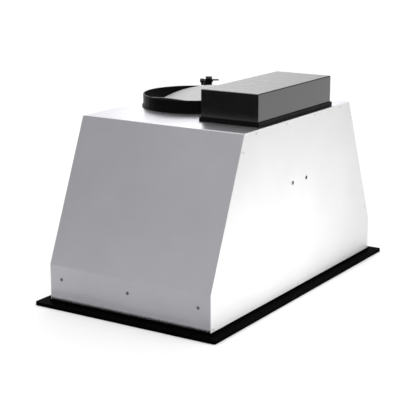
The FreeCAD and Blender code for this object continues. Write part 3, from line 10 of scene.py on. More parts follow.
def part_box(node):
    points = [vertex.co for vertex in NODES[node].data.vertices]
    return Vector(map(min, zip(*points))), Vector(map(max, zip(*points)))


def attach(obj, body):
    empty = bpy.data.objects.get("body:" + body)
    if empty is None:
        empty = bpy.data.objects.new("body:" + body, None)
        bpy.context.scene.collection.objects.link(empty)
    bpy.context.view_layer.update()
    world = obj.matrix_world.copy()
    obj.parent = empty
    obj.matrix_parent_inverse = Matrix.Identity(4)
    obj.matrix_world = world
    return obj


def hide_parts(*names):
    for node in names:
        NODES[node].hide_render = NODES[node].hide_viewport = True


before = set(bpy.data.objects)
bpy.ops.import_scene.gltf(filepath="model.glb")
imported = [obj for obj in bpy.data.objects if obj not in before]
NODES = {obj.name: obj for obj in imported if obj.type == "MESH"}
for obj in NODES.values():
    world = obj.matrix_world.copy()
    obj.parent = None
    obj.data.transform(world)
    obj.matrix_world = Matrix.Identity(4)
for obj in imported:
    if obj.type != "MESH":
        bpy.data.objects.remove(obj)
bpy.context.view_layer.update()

# The camera as fitted to the photograph, in metres.
CAMERA_PLACE = Vector((-2.0443, -1.2599, 0.7538))
CAMERA_FORWARD = Vector((0.8198, 0.5173, -0.2454))
CAMERA_UP = Vector((0.2075, 0.1309, 0.9693))
CAMERA_LENS = 104.31
SENSOR_WIDTH = 36.0

# Noise mostly lies between these two values.
NOISE_LOW = 0.3
NOISE_HIGH = 0.7

# A face turns into a top as the upward part of its normal goes from one to the other.
TOP_FACING_START = 0.8
TOP_FACING_END = 0.95

# The wrap's steel is smoother below, and changes between these heights.
FOOT_LOW = 0.012
FOOT_HIGH = 0.024
FOOT_GLOSS = 0.32


class Shader:
    """A material's node tree, with short ways to add what it needs."""

    def __init__(self, name):
        self.material = bpy.data.materials.new(name)
        self.material.use_nodes = True
        self.tree = self.material.node_tree
        self.surface = self.tree.nodes["Principled BSDF"]
        self.place = self.tree.nodes.new("ShaderNodeTexCoord").outputs["Object"]

    def set(self, **sockets):
        """Fixed values on the surface; an underscore stands for a blank in a socket's name."""
        for name, number in sockets.items():
            self.surface.inputs[name.replace("_", " ")].default_value = number
        return self

    def link(self, source, target):
        self.tree.links.new(source, target)

    def stretched(self, scale):
        """Object coordinates scaled by a different number along each axis."""
        mapping = self.tree.nodes.new("ShaderNodeMapping")
        mapping.inputs["Scale"].default_value = scale
        self.link(self.place, mapping.inputs["Vector"])
        return mapping.outputs["Vector"]

    def noise(self, scale, detail=3.0, roughness=0.6, stretch=(1, 1, 1)):
        """Cloudy grey values over the object."""
        texture = self.tree.nodes.new("ShaderNodeTexNoise")
        texture.inputs["Scale"].default_value = scale
        texture.inputs["Detail"].default_value = detail
        texture.inputs["Roughness"].default_value = roughness
        self.link(self.stretched(stretch), texture.inputs["Vector"])
        return texture.outputs["Fac"]

    def spread(self, source, low, high, start=NOISE_LOW, end=NOISE_HIGH):
        """A grey value taken from one range to another."""
        node = self.tree.nodes.new("ShaderNodeMapRange")
        node.inputs["From Min"].default_value = start
        node.inputs["From Max"].default_value = end
        node.inputs["To Min"].default_value = low
        node.inputs["To Max"].default_value = high
        self.link(source, node.inputs["Value"])
        return node.outputs["Result"]

    def ramp(self, source, *stops):
        """Colours along a grey value; a stop is (place, colour)."""
        node = self.tree.nodes.new("ShaderNodeValToRGB")
        elements = node.color_ramp.elements
        while len(elements) < len(stops):
            elements.new(0.5)
        for element, (place, colour) in zip(elements, stops):
            element.position = place
            element.color = (*colour, 1.0)
        self.link(source, node.inputs["Fac"])
        return node.outputs["Color"]

    def bump(self, height, strength, distance=0.0002):
        """Small relief from a grey value."""
        node = self.tree.nodes.new("ShaderNodeBump")
        node.inputs["Strength"].default_value = strength
        node.inputs["Distance"].default_value = distance
        self.link(height, node.inputs["Height"])
        self.link(node.outputs["Normal"], self.surface.inputs["Normal"])

    def smoother_on_top(self, source, share):
        """A grey value cut to a share of itself on faces that look straight up."""
        facing = self.tree.nodes.new("ShaderNodeSeparateXYZ")
        self.link(self.tree.nodes.new("ShaderNodeNewGeometry").outputs["Normal"], facing.inputs["Vector"])
        cut = self.spread(facing.outputs["Z"], 1.0, share, start=TOP_FACING_START, end=TOP_FACING_END)
        return self.times(source, cut)

    def smoother_at_foot(self, source, share):
        """A grey value cut to a share of itself just above the flange."""
        along = self.tree.nodes.new("ShaderNodeSeparateXYZ")
        self.link(self.place, along.inputs["Vector"])
        cut = self.spread(along.outputs["Z"], share, 1.0, start=FOOT_LOW, end=FOOT_HIGH)
        return self.times(source, cut)

    def times(self, first, second):
        """Two grey values multiplied."""
        node = self.tree.nodes.new("ShaderNodeMath")
        node.operation = "MULTIPLY"
        self.link(first, node.inputs[0])
        self.link(second, node.inputs[1])
        return node.outputs["Value"]

    def colour(self, source):
        self.link(source, self.surface.inputs["Base Color"])

    def rough(self, source):
        self.link(source, self.surface.inputs["Roughness"])


BLUISH = (0.985, 0.98, 1.035)
NEUTRAL = (1.0, 1.0, 1.0)


def tinted(tint, level):
    """A colour made lighter or darker by one factor."""
    return tuple(level * part for part in tint)


def shade(level):
    """A grey of one level."""
    return tinted(NEUTRAL, level)


STEEL_DRAW = 0.75
GRAIN_GLOSS_LOW = 0.88
GRAIN_GLOSS_HIGH = 1.12
GRAIN_HEIGHT = 0.00005
SMEAR_SCALE = 9.0
SMEAR_SHADE = 0.95


def brushed_steel(name, grain, around, level, rough, flat_rough=None, tint=NEUTRAL, metallic=1.0):
    """Rolled stainless sheet: fine grain along one axis, gloss drawn out across it, faint broad smears."""
    steel = Shader(name)
    steel.set(Metallic=metallic, Anisotropic=STEEL_DRAW)
    across = steel.tree.nodes.new("ShaderNodeTangent")
    across.direction_type = "RADIAL"
    across.axis = around
    steel.link(across.outputs["Tangent"], steel.surface.inputs["Tangent"])
    lines = steel.noise(1.0, detail=4.0, roughness=0.7, stretch=grain)
    smears = steel.noise(SMEAR_SCALE, detail=3.0, roughness=0.55)
    smeared = tinted(tint, level * SMEAR_SHADE)
    steel.colour(steel.ramp(smears, (NOISE_LOW, smeared), (NOISE_HIGH, tinted(tint, level))))
    gloss = steel.spread(lines, rough * GRAIN_GLOSS_LOW, rough * GRAIN_GLOSS_HIGH)
    if flat_rough:
        gloss = steel.smoother_on_top(gloss, flat_rough / rough)
        gloss = steel.smoother_at_foot(gloss, FOOT_GLOSS)
    steel.rough(gloss)
    steel.bump(lines, strength=0.07, distance=GRAIN_HEIGHT)
    return steel.material


MOTTLE_SHADE = 0.86
MOTTLE_GLOSS_LOW = 0.75
MOTTLE_GLOSS_HIGH = 1.25


def plain_metal(name, colour, rough, speckle=240.0, metallic=1.0):
    """Zinc-plated or cast metal: small soft mottling in colour and gloss."""
    metal = Shader(name)
    metal.set(Metallic=metallic)
    mottle = metal.noise(speckle, detail=4.0)
    metal.colour(metal.ramp(mottle, (NOISE_LOW, tinted(colour, MOTTLE_SHADE)), (NOISE_HIGH, colour)))
    metal.rough(metal.spread(mottle, rough * MOTTLE_GLOSS_LOW, rough * MOTTLE_GLOSS_HIGH))
    metal.bump(mottle, strength=0.08)
    return metal.material


PEEL_SCALE = 420.0
DUST_SCALE = 60.0
DUST_LOW = 0.35
DUST_HIGH = 0.8
DUST_SHADE = 1.5
DUST_GLOSS_LOW = 0.85
DUST_GLOSS_HIGH = 1.2


def black_paint(name, level, rough, coat=0.0, ior=1.5):
    """Smooth black enamel with a faint orange peel."""
    paint = Shader(name)
    paint.set(Coat_Weight=coat, Coat_Roughness=0.12, IOR=ior)
    peel = paint.noise(PEEL_SCALE, detail=2.0)
    dust = paint.noise(DUST_SCALE, detail=5.0, roughness=0.7)
    paint.colour(paint.ramp(dust, (DUST_LOW, shade(level)), (DUST_HIGH, shade(level * DUST_SHADE))))
    paint.rough(paint.spread(dust, rough * DUST_GLOSS_LOW, rough * DUST_GLOSS_HIGH))
    paint.bump(peel, strength=0.06)
    return paint.material


CLOUD_SCALE = 35.0
CLOUD_SHADE = 0.85
PEBBLE_GLOSS_LOW = 0.85
PEBBLE_GLOSS_HIGH = 1.15


def moulded_plastic(name, colour, rough, grain=900.0, shine=0.5):
    """Moulded plastic with a fine grain."""
    plastic = Shader(name)
    plastic.set(Specular_IOR_Level=shine)
    pebble = plastic.noise(grain, detail=2.0)
    cloud = plastic.noise(CLOUD_SCALE, detail=3.0)
    plastic.colour(plastic.ramp(cloud, (NOISE_LOW, tinted(colour, CLOUD_SHADE)), (NOISE_HIGH, colour)))
    plastic.rough(plastic.spread(pebble, rough * PEBBLE_GLOSS_LOW, rough * PEBBLE_GLOSS_HIGH))
    plastic.bump(pebble, strength=0.12)
    return plastic.material


def lamp_glass(name):
    """A frosted lens with a fine prism pattern."""
    lens = Shader(name)
    lens.set(Transmission_Weight=0.75, Roughness=0.28, IOR=1.48, Base_Color=(0.95, 0.96, 0.95, 1.0))
    prism = lens.tree.nodes.new("ShaderNodeTexVoronoi")
    prism.inputs["Scale"].default_value = 420.0
    lens.link(lens.place, prism.inputs["Vector"])
    lens.bump(prism.outputs["Distance"], strength=0.5, distance=0.0004)
    return lens.material


# Noise scales for grain along one axis.
ALONG_DEPTH = (700.0, 5.0, 700.0)
ALONG_WIDTH = (5.0, 700.0, 700.0)

MATERIALS = {
    "wrap_steel": brushed_steel("wrap_steel", ALONG_DEPTH, "Y", level=0.62, rough=0.50, flat_rough=0.29,
                                tint=BLUISH),
    "panel_steel": brushed_steel("panel_steel", ALONG_WIDTH, "X", level=0.74, rough=0.45, metallic=0.35),
    "pan_steel": brushed_steel("pan_steel", ALONG_WIDTH, "X", level=0.80, rough=0.32),
    "filter_steel": brushed_steel("filter_steel", ALONG_DEPTH, "Y", level=0.76, rough=0.30),
    "galvanised": plain_metal("galvanised", (0.62, 0.63, 0.64), rough=0.38, speckle=90.0),
    "rivet_steel": plain_metal("rivet_steel", (0.74, 0.74, 0.74), rough=0.45, metallic=0.35),
    # The same rivet steel made dark for the rivets in the ends: painted shade, not a different metal.
    "end_rivet_painted_shade": plain_metal("end_rivet_painted_shade", (0.16, 0.16, 0.165), rough=0.42),
    "mandrel_steel": plain_metal("mandrel_steel", (0.16, 0.16, 0.16), rough=0.55),
    "screw_steel": plain_metal("screw_steel", (0.55, 0.55, 0.56), rough=0.32),
    "screw_black": plain_metal("screw_black", (0.04, 0.04, 0.042), rough=0.5),
    "clamp_black": black_paint("clamp_black", level=0.004, rough=0.60, ior=1.12),
    "flange_black": black_paint("flange_black", level=0.0015, rough=0.30, ior=1.02),
    "box_black": black_paint("box_black", level=0.002, rough=0.20, ior=1.95),
    "base_black": black_paint("base_black", level=0.004, rough=0.45, ior=1.2),
    "collar_black": moulded_plastic("collar_black", (0.003, 0.003, 0.0031), rough=0.42, shine=0.10),
    "rubber_black": moulded_plastic("rubber_black", (0.015, 0.015, 0.015), rough=0.7, grain=1500.0),
    "flap_metal": plain_metal("flap_metal", (0.58, 0.58, 0.58), rough=0.7, speckle=60.0, metallic=0.0),
    "polished": plain_metal("polished", (0.76, 0.76, 0.77), rough=0.14, speckle=30.0),
    "button_steel": plain_metal("button_steel", (0.70, 0.70, 0.71), rough=0.24, speckle=300.0),
    "cast_aluminium": plain_metal("cast_aluminium", (0.68, 0.69, 0.70), rough=0.42),
    "stator_iron": plain_metal("stator_iron", (0.24, 0.24, 0.25), rough=0.5),
    "motor_black": black_paint("motor_black", level=0.03, rough=0.38, coat=0.1),
    "board_green": moulded_plastic("board_green", (0.03, 0.16, 0.06), rough=0.4),
    "terminal_cream": moulded_plastic("terminal_cream", (0.70, 0.66, 0.56), rough=0.5),
    "lens_glass": lamp_glass("lens_glass"),
}

NODE_MATERIALS = {
    "wrap_steel": ["canopy_wrap"],
    "panel_steel": ["front_panel", "rear_panel"],
    "pan_steel": ["bottom_pan"],
    "filter_steel": ["left_filter_frame", "left_filter_baffles",
                     "right_filter_frame", "right_filter_baffles"],
    "galvanised": ["front_base_angle", "rear_base_angle", "left_mounting_rail", "right_mounting_rail",
                   "scroll_wrap", "scroll_left_plate", "scroll_right_plate", "outlet_frame", "motor_bracket"],
    "rivet_steel": ["blind_rivets"],
    "mandrel_steel": ["rivet_mandrels"],
    "screw_steel": ["pan_screws", "electrical_box_screws", "blower_screws",
                    "damper_axle", "motor_bearings", "motor_shaft"],
    "screw_black": ["cable_clamp_screws"],
    "clamp_black": ["cable_clamp_body", "cable_clamp_bar", "cable_clamp_nut"],
    "flange_black": ["mounting_flange"],
    "box_black": ["electrical_box_cover"],
    "base_black": ["electrical_box_base"],
    "collar_black": ["duct_collar", "switch_block"],
    "rubber_black": ["collar_gasket", "wire_grommets", "inner_leads"],
    "flap_metal": ["left_damper_flap", "right_damper_flap"],
    "polished": ["left_filter_knobs", "right_filter_knobs", "left_filter_clips", "right_filter_clips",
                 "lamp_bezels", "power_button", "low_speed_button", "mid_speed_button", "high_speed_button",
                 "light_button"],
    "cast_aluminium": ["impeller", "lamp_cans", "run_capacitor"],
    "stator_iron": ["motor_stator", "motor_rotor", "transformer"],
    "motor_black": ["motor_front_bell", "motor_rear_bell"],
    "board_green": ["control_board"],
    "terminal_cream": ["terminal_block"],
    "lens_glass": ["lamp_lenses"],
}


def paint_nodes():
    """Every CAD node gets its material."""
    for name, nodes in NODE_MATERIALS.items():
        for node in nodes:
            for slot in NODES[node].material_slots:
                slot.material = MATERIALS[name]
    painted = [node for nodes in NODE_MATERIALS.values() for node in nodes]
    missing = set(NODES) - set(painted)
    if missing:
        raise RuntimeError(f"no material for {sorted(missing)}")


STEPS_ROUND = 32
STEPS_KNURL = 72
KNURL_COUNT = 36
CROSS_WIDTH_SHARE = 0.26
SMALLEST = 1e-6
ROUND = [2 * math.pi * step / STEPS_ROUND for step in range(STEPS_ROUND)]
FINE_ROUND = [2 * math.pi * step / STEPS_KNURL for step in range(STEPS_KNURL)]
DOWN = Vector((0.0, 0.0, -1.0))
BACKWARD = Vector((0.0, 1.0, 0.0))
SHARP_ANGLE = math.radians(38)


def cross_angles():
    """Angles that meet every corner of a cross recess."""
    corner = math.atan(CROSS_WIDTH_SHARE)
    eighth = math.pi / 4
    quarter = [0.0, corner, (corner + eighth) / 2, eighth]
    quarter += [2 * eighth - angle for angle in (quarter[2], corner)]
    return [turn * 2 * eighth + angle for turn in range(4) for angle in quarter]


CROSS_ROUND = cross_angles()


def cross(reach):
    """The outline of a cross recess, as a radius for each angle."""
    def radius(angle):
        along, across = sorted((abs(math.cos(angle)), abs(math.sin(angle))), reverse=True)
        return min(reach / along, CROSS_WIDTH_SHARE * reach / max(across, SMALLEST))
    return radius


def knurled(radius, cut):
    """A rim with fine grip ridges, as a radius for each angle."""
    return lambda angle: radius - cut * (0.5 + 0.5 * math.cos(KNURL_COUNT * angle))


def solids_of(node, reach):
    """Low and high corners of each separate solid of a CAD node; reach is more than one solid's size."""
    found = []
    for vertex in NODES[node].data.vertices:
        point = vertex.co
        home = next((row for row in found if (point - row[0]).length < reach), None)
        if home is None:
            found.append((point.copy(), point.copy(), point.copy()))
            continue
        for axis in range(3):
            home[1][axis] = min(home[1][axis], point[axis])
            home[2][axis] = max(home[2][axis], point[axis])
    return [(low, high) for _, low, high in found]


def lower_middle(low, high):
    """The middle of a box's lower face."""
    return Vector(((low[0] + high[0]) / 2, (low[1] + high[1]) / 2, low[2]))


def turned(made, profile, place, axis, angles=ROUND, closed=False):
    """Adds a solid of revolution: rows of (radius, height) about an axis. A radius may follow the angle."""
    side = axis.orthogonal().normalized()
    other = axis.cross(side)
    rings = []
    for radius, height in profile:
        centre = place + axis * height
        if not callable(radius) and radius == 0:
            rings.append([made.verts.new(centre)])
            continue
        ring = []
        for angle in angles:
            reach = radius(angle) if callable(radius) else radius
            ring.append(made.verts.new(centre + reach * (math.cos(angle) * side + math.sin(angle) * other)))
        rings.append(ring)
    followers = rings[1:] + rings[:1] if closed else rings[1:]
    faces = []
    for ring, follower in zip(rings, followers):
        for step in range(len(angles)):
            corners = [ring[step % len(ring)], ring[(step + 1) % len(ring)],
                       follower[(step + 1) % len(follower)], follower[step % len(follower)]]
            faces.append(made.faces.new(list(dict.fromkeys(corners))))
    return faces


def dome(radius, height, inner, steps=5):
    """Profile rows over a low dome, from its rim to an inner radius."""
    last = math.acos(inner / radius)
    rows = []
    for step in range(steps + 1):
        angle = last * step / steps
        rows.append((radius * math.cos(angle), height * math.sin(angle) / math.sin(last)))
    return rows


def stand_for(made, node, body, slot, *materials):
    """Turns a mesh under construction into the piece that stands for a CAD node."""
    bmesh.ops.recalc_face_normals(made, faces=made.faces)
    for face in made.faces:
        face.smooth = True
    for edge in made.edges:
        if len(edge.link_faces) == 2 and edge.calc_face_angle() > SHARP_ANGLE:
            edge.smooth = False
    mesh = bpy.data.meshes.new(f"{node}_piece")
    made.to_mesh(mesh)
    made.free()
    for material in materials:
        mesh.materials.append(MATERIALS[material])
    piece = bpy.data.objects.new(f"{node}_piece", mesh)
    bpy.context.scene.collection.objects.link(piece)
    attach(piece, body)
    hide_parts(node)


RIVET_SPAN = 0.012
RIVET_SHANK = 0.0016
RIVET_TAIL = 0.0024
RIVET_TAIL_LENGTH = 0.0025
RIVET_TAIL_FLAT = 0.7 * RIVET_TAIL
RIVET_TAIL_ROUND = 0.4 * RIVET_TAIL
RIVET_HEAD_HEIGHT = 0.0011
RIVET_BORE = 0.00115
RIVET_BORE_DEPTH = 0.0009
RIVET_BORE_RIM = 1.15 * RIVET_BORE
RIVET_BORE_LIP = 0.96 * RIVET_HEAD_HEIGHT


def make_rivets():
    """Blind rivets: a domed head with a bore, a shank and the set tail. Those in the ends get a dark copy of
    the same steel, as painted shade.
    """
    made = bmesh.new()
    for low, high in solids_of("blind_rivets", RIVET_SPAN):
        span = high - low
        along = min(range(3), key=lambda axis: span[axis])
        middle = (low + high) / 2
        out = -1.0 if along == 2 or middle[along] < 0 else 1.0
        axis = Vector([out if index == along else 0.0 for index in range(3)])
        tip = middle.copy()
        tip[along] = high[along] if out > 0 else low[along]
        head = max(span) / 2
        length = span[along] - RIVET_HEAD_HEIGHT
        grip = length - RIVET_TAIL_LENGTH
        profile = [(0, -length), (RIVET_TAIL_FLAT, -length), (RIVET_TAIL, RIVET_TAIL_ROUND - length)]
        profile += [(RIVET_TAIL, -grip), (RIVET_SHANK, -grip), (RIVET_SHANK, 0.0)]
        profile += dome(head, RIVET_HEAD_HEIGHT, RIVET_BORE_RIM)
        bore_foot = RIVET_HEAD_HEIGHT - RIVET_BORE_DEPTH
        profile += [(RIVET_BORE, RIVET_BORE_LIP), (RIVET_BORE, bore_foot), (0, bore_foot)]
        for face in turned(made, profile, tip - axis * RIVET_HEAD_HEIGHT, axis):
            # Rivets in the ends take the dark copy of the steel, which is painted shade.
            face.material_index = 1 if along == 0 else 0
    stand_for(made, "blind_rivets", "hood", "rivet_steel", "rivet_steel", "end_rivet_painted_shade")


SCREW_SPAN = 0.022
THREAD_PITCH = 0.0009
THREAD_DEPTH = 0.00028
THREAD_TIP = 0.6

# A screw head's crown and recess, as shares of its radius and of its height.
SCREW_CROWN = 0.72
RECESS_MOUTH = 0.60
RECESS_FOOT = 0.45
RECESS_FOOT_HEIGHT = 0.35
RECESS_POINT_HEIGHT = 0.25


def thread(radius, start, length):
    """Profile rows of a screw's thread from its tip to its head."""
    rows = [(0, start - length), (radius * THREAD_TIP, start - length)]
    height = start - length + THREAD_PITCH
    while height < start - THREAD_PITCH:
        rows += [(radius - THREAD_DEPTH, height - THREAD_PITCH / 2), (radius, height)]
        height += THREAD_PITCH
    return rows + [(radius - THREAD_DEPTH, start)]


def make_screws(node, axis, head_height, shank):
    """Pan-head screws with a cross recess, where the CAD has its screws."""
    made = bmesh.new()
    along = max(range(3), key=lambda index: abs(axis[index]))
    for low, high in solids_of(node, SCREW_SPAN):
        span = high - low
        tip = (low + high) / 2
        tip[along] = high[along] if axis[along] > 0 else low[along]
        head = max(span[index] for index in range(3) if index != along) / 2
        profile = thread(shank, 0.0, span[along] - head_height)
        profile += dome(head, head_height, head * SCREW_CROWN, steps=4)
        profile += [(cross(head * RECESS_MOUTH), head_height)]
        profile += [(cross(head * RECESS_FOOT), head_height * RECESS_FOOT_HEIGHT)]
        profile += [(0, head_height * RECESS_POINT_HEIGHT)]
        turned(made, profile, tip - axis * head_height, axis, CROSS_ROUND)
    stand_for(made, node, "hood", "screw_steel", "screw_steel")


PAN_SCREW_HEAD = 0.0014
PAN_SCREW_SHANK = 0.002
BOX_SCREW_HEAD = 0.0018
BOX_SCREW_SHANK = 0.0018

BUTTON_RADIUS = 0.009
BUTTON_EDGE = 0.0005
BUTTON_EDGE_ROUND = 0.3 * BUTTON_EDGE
BUTTON_DISH = 0.0007
BUTTON_DISH_RADIUS = 0.72 * BUTTON_RADIUS
BUTTON_DISH_SHARES = (0, 0.3, 0.55, 0.8, 1.0)
BUTTON_GROOVE = 0.0003
BUTTON_GROOVE_INNER = 0.86 * BUTTON_RADIUS
BUTTON_GROOVE_MIDDLE = 0.88 * BUTTON_RADIUS
BUTTON_GROOVE_OUTER = 0.90 * BUTTON_RADIUS
BUTTON_DROP = 0.0031
BUTTON_FLANGE = 0.0012
BUTTON_STEM = 0.003


def make_buttons():
    """Five spun-metal push buttons: a dished face inside a fine groove, a flange and a stem."""
    for name in ("power", "low_speed", "mid_speed", "high_speed", "light"):
        node = f"{name}_button"
        low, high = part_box(node)
        rim = (high[0] - low[0]) / 2
        stem_end = low[2] - high[2]
        profile = [(BUTTON_DISH_RADIUS * share, BUTTON_DISH * (share ** 2 - 1))
                   for share in BUTTON_DISH_SHARES]
        profile += [(BUTTON_DISH_RADIUS + BUTTON_EDGE, 0.0), (BUTTON_GROOVE_INNER, 0.0)]
        profile += [(BUTTON_GROOVE_MIDDLE, -BUTTON_GROOVE), (BUTTON_GROOVE_OUTER, 0.0)]
        profile += [(BUTTON_RADIUS - BUTTON_EDGE, 0.0)]
        profile += [(BUTTON_RADIUS - BUTTON_EDGE_ROUND, -BUTTON_EDGE_ROUND)]
        profile += [(BUTTON_RADIUS, -BUTTON_EDGE), (BUTTON_RADIUS, -BUTTON_DROP), (rim, -BUTTON_DROP)]
        back = BUTTON_DROP + BUTTON_FLANGE
        profile += [(rim, -back), (BUTTON_STEM, -back), (BUTTON_STEM, stem_end), (0, stem_end)]
        made = bmesh.new()
        turned(made, profile, lower_middle(low, high), DOWN, FINE_ROUND)
        stand_for(made, node, f"{name}_push", "button", "button_steel")


KNOB_SPAN = 0.03
KNOB_NECK = 0.003
KNOB_HEAD = 0.002
KNOB_CUT = 0.0003
KNOB_EDGE = 0.0005

# A knob's dish, as shares of its radius and of the edge's height.
KNOB_DISH = 0.62
KNOB_DISH_RIM = 0.72
KNOB_DISH_DEPTH = 0.8


def make_knobs():
    """Turned pull knobs of the filters, with a knurled rim and a shallow dish."""
    for side in ("left", "right"):
        node = f"{side}_filter_knobs"
        made = bmesh.new()
        for low, high in solids_of(node, KNOB_SPAN):
            radius = (high[0] - low[0]) / 2
            grip = knurled(radius, KNOB_CUT)
            neck_end = low[2] - high[2]
            profile = [(0, -KNOB_EDGE), (radius * KNOB_DISH, -KNOB_EDGE * KNOB_DISH_DEPTH)]
            profile += [(radius * KNOB_DISH_RIM, 0.0), (radius - KNOB_EDGE, 0.0), (grip, -KNOB_EDGE)]
            profile += [(grip, KNOB_EDGE - KNOB_HEAD), (radius - KNOB_EDGE, -KNOB_HEAD)]
            profile += [(KNOB_NECK, -KNOB_HEAD), (KNOB_NECK, neck_end), (0, neck_end)]
            turned(made, profile, lower_middle(low, high), DOWN, FINE_ROUND)
        stand_for(made, node, f"{side}_filter", "knob_steel", "polished")


LAMP_SPAN = 0.1
BEZEL_MOUTH = 0.016
BEZEL_SEAT = 0.01812
BEZEL_LIP = 0.0006
BEZEL_LIP_ROUND = 0.5 * BEZEL_LIP
BEZEL_ROLL_SHARES = (0.55, 0.4, 0.25, 0.12, 0.04, 0.0)
LENS_BULGE = 0.0004
LENS_BULGE_SHARES = (0, 0.35, 0.65, 0.85, 0.98)
PRISM_COUNT = 14
PRISM_DEPTH = 0.0004
PRISM_FIELD = 0.94
PRISM_SLOPE = 0.6


def make_lamps():
    """Rolled bezel rings and pressed lenses with ring prisms on their inner side."""
    rings, lenses = bmesh.new(), bmesh.new()
    for low, high in solids_of("lamp_bezels", LAMP_SPAN):
        rim = (high[0] - low[0]) / 2
        height = high[2] - low[2]
        profile = [(BEZEL_MOUTH, -BEZEL_LIP), (BEZEL_MOUTH, -BEZEL_LIP_ROUND), (BEZEL_MOUTH + BEZEL_LIP, 0.0)]
        for share in BEZEL_ROLL_SHARES:
            rolled = 1 - math.sqrt(1 - (1 - share) ** 2)
            profile += [(rim - (rim - BEZEL_SEAT) * share, -height * rolled)]
        profile += [(BEZEL_SEAT, -height), (BEZEL_SEAT, -BEZEL_LIP)]
        turned(rings, profile, lower_middle(low, high), DOWN, FINE_ROUND, closed=True)
    for low, high in solids_of("lamp_lenses", LAMP_SPAN):
        rim = (high[0] - low[0]) / 2
        thick = high[2] - low[2]
        profile = [(BEZEL_MOUTH * share, LENS_BULGE * (1 - share ** 2)) for share in LENS_BULGE_SHARES]
        profile += [(rim, 0.0), (rim, -thick)]
        for step in range(PRISM_COUNT, 0, -1):
            reach = rim * PRISM_FIELD * step / PRISM_COUNT
            profile += [(reach, PRISM_DEPTH - thick), (reach * (1 - PRISM_SLOPE / (step + 1)), -thick)]
        profile += [(0, -thick)]
        turned(lenses, profile, lower_middle(low, high), DOWN, FINE_ROUND)
    stand_for(rings, "lamp_bezels", "hood", "bezel", "polished")
    stand_for(lenses, "lamp_lenses", "hood", "lens", "lens_glass")


THIN_EDGE = 0.0003
SHEET_EDGE = 0.0004
LIP_EDGE = 0.0005
MOULDED_EDGE = 0.0008
EDGE_WIDTHS = {
    THIN_EDGE: ["left_filter_frame", "right_filter_frame"],
    SHEET_EDGE: ["canopy_wrap", "front_panel", "rear_panel", "bottom_pan"],
    LIP_EDGE: ["mounting_flange", "electrical_box_base"],
    MOULDED_EDGE: ["duct_collar", "switch_block"],
}
EDGE_SEGMENTS = 2
WELD_REACH = 0.000002
EDGE_ANGLE = math.radians(30)


def soften_edges():
    """Sheet and moulded edges catch a thin line of light, as cut and bent edges do."""
    for width, nodes in EDGE_WIDTHS.items():
        for node in nodes:
            weld = NODES[node].modifiers.new("weld", "WELD")
            weld.merge_threshold = WELD_REACH
            bevel = NODES[node].modifiers.new("edge", "BEVEL")
            bevel.width = width
            bevel.segments = EDGE_SEGMENTS
            bevel.limit_method = "ANGLE"
            bevel.angle_limit = EDGE_ANGLE
            bevel.harden_normals = True


def make_camera():
    """The camera that took the photograph."""
    data = bpy.data.cameras.new("photo_camera")
    data.lens = CAMERA_LENS
    data.sensor_width = SENSOR_WIDTH
    camera = bpy.data.objects.new("photo_camera", data)
    back = -CAMERA_FORWARD.normalized()
    right = CAMERA_UP.cross(back).normalized()
    up = back.cross(right)
    camera.matrix_world = Matrix.Translation(CAMERA_PLACE) @ Matrix((right, up, back)).transposed().to_4x4()
    bpy.context.scene.collection.objects.link(camera)
    bpy.context.scene.camera = camera


FLOOR_HALF = 12.0
FLOOR_LEVEL = -0.0005
FLOOR_PALE = 0.92
FLOOR_DARK = 0.04
FLOOR_DARK_WAY = Vector((-0.848, 0.530, 0.0))
FLOOR_FADE_START = 0.85
FLOOR_FADE_END = 1.25


def make_floor():
    """A pale paper floor that keeps the soft shadow; far off behind the left end it turns to dark grey."""
    mesh = bpy.data.meshes.new("floor")
    corners = [(-1, -1), (1, -1), (1, 1), (-1, 1)]
    mesh.from_pydata([(FLOOR_HALF * x, FLOOR_HALF * y, FLOOR_LEVEL) for x, y in corners], [], [(0, 1, 2, 3)])
    floor = bpy.data.objects.new("floor", mesh)
    bpy.context.scene.collection.objects.link(floor)
    paper = Shader("floor_paper")
    paper.set(Roughness=1.0, Specular_IOR_Level=0.0)
    along = paper.tree.nodes.new("ShaderNodeVectorMath")
    along.operation = "DOT_PRODUCT"
    along.inputs[1].default_value = FLOOR_DARK_WAY
    paper.link(paper.place, along.inputs[0])
    fade = paper.spread(along.outputs["Value"], 0.0, 1.0, start=FLOOR_FADE_START, end=FLOOR_FADE_END)
    paper.colour(paper.ramp(fade, (0.0, shade(FLOOR_PALE)), (1.0, shade(FLOOR_DARK))))
    mesh.materials.append(paper.material)


# Brightness of the studio, and the upward or backward part of a direction where it changes.
HORIZON_LEVEL = 0.04
HORIZON_TOP = 0.14
WALL_LEVEL = 0.46
WALL_START = 0.34
CEILING_RISE = 1.20
CEILING_LOW = 0.45
CEILING_HIGH = 0.90
BACKDROP_WAY = Vector((0.602, 0.799, 0.0))
BACKDROP_LEVEL = 1.50
BACKDROP_START = 0.72
BACKDROP_END = 0.98


def world_level(tree, source, low, high, start, end):
    """A brightness that rises smoothly between two values of a direction's part."""
    node = tree.nodes.new("ShaderNodeMapRange")
    node.interpolation_type = "SMOOTHSTEP"
    node.inputs["From Min"].default_value = start
    node.inputs["From Max"].default_value = end
    node.inputs["To Min"].default_value = low
    node.inputs["To Max"].default_value = high
    tree.links.new(source, node.inputs["Value"])
    return node.outputs["Result"]


def joined(tree, operation, first, second):
    """Two brightnesses put together."""
    node = tree.nodes.new("ShaderNodeMath")
    node.operation = operation
    tree.links.new(first, node.inputs[0])
    tree.links.new(second, node.inputs[1])
    return node.outputs["Value"]


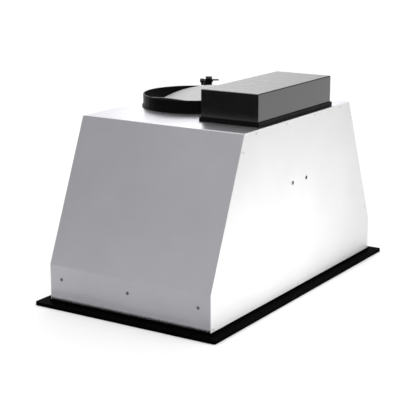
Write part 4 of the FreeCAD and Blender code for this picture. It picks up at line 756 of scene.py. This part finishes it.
def make_world():
    """A studio: bright ceiling, white backdrop behind the object, dark walls near the floor elsewhere."""
    world = bpy.data.worlds.new("studio")
    bpy.context.scene.world = world
    world.use_nodes = True
    tree = world.node_tree
    background = tree.nodes["Background"]
    way = tree.nodes.new("ShaderNodeTexCoord").outputs["Generated"]
    parts = tree.nodes.new("ShaderNodeSeparateXYZ")
    tree.links.new(way, parts.inputs["Vector"])
    walls = world_level(tree, parts.outputs["Z"], HORIZON_LEVEL, WALL_LEVEL, HORIZON_TOP, WALL_START)
    rise = world_level(tree, parts.outputs["Z"], 0.0, CEILING_RISE, CEILING_LOW, CEILING_HIGH)
    ceiling = joined(tree, "ADD", walls, rise)
    behind = tree.nodes.new("ShaderNodeVectorMath")
    behind.operation = "DOT_PRODUCT"
    behind.inputs[1].default_value = BACKDROP_WAY
    tree.links.new(way, behind.inputs[0])
    backdrop = world_level(tree, behind.outputs["Value"], 0.0, BACKDROP_LEVEL, BACKDROP_START, BACKDROP_END)
    tree.links.new(joined(tree, "MAXIMUM", ceiling, backdrop), background.inputs["Strength"])
    background.inputs["Color"].default_value = (1.0, 1.0, 1.0, 1.0)


def make_light(name, place, target, width, height, power):
    """A soft rectangular lamp that the camera doesn't see."""
    data = bpy.data.lights.new(name, "AREA")
    data.shape = "RECTANGLE"
    data.size = width
    data.size_y = height
    data.energy = power
    light = bpy.data.objects.new(name, data)
    light.location = place
    light.rotation_euler = (Vector(target) - Vector(place)).to_track_quat("-Z", "Y").to_euler()
    light.visible_camera = False
    bpy.context.scene.collection.objects.link(light)


def make_lights():
    """A low lamp before the front panel, and a high one behind the right end."""
    make_light("front_softbox", place=(-0.06, -0.58, 0.06), target=(-0.04, -0.18, 0.035),
               width=0.40, height=0.14, power=1.7)
    make_light("rear_softbox", place=(1.45, 0.95, 1.50), target=(0.0, 0.0, 0.35),
               width=0.80, height=0.80, power=6.5)


bpy.context.scene.view_settings.view_transform = "Standard"
paint_nodes()
make_rivets()
make_screws("pan_screws", DOWN, PAN_SCREW_HEAD, PAN_SCREW_SHANK)
make_screws("electrical_box_screws", BACKWARD, BOX_SCREW_HEAD, BOX_SCREW_SHANK)
make_buttons()
make_knobs()
make_lamps()
soften_edges()
make_camera()
make_floor()
make_world()
make_lights()
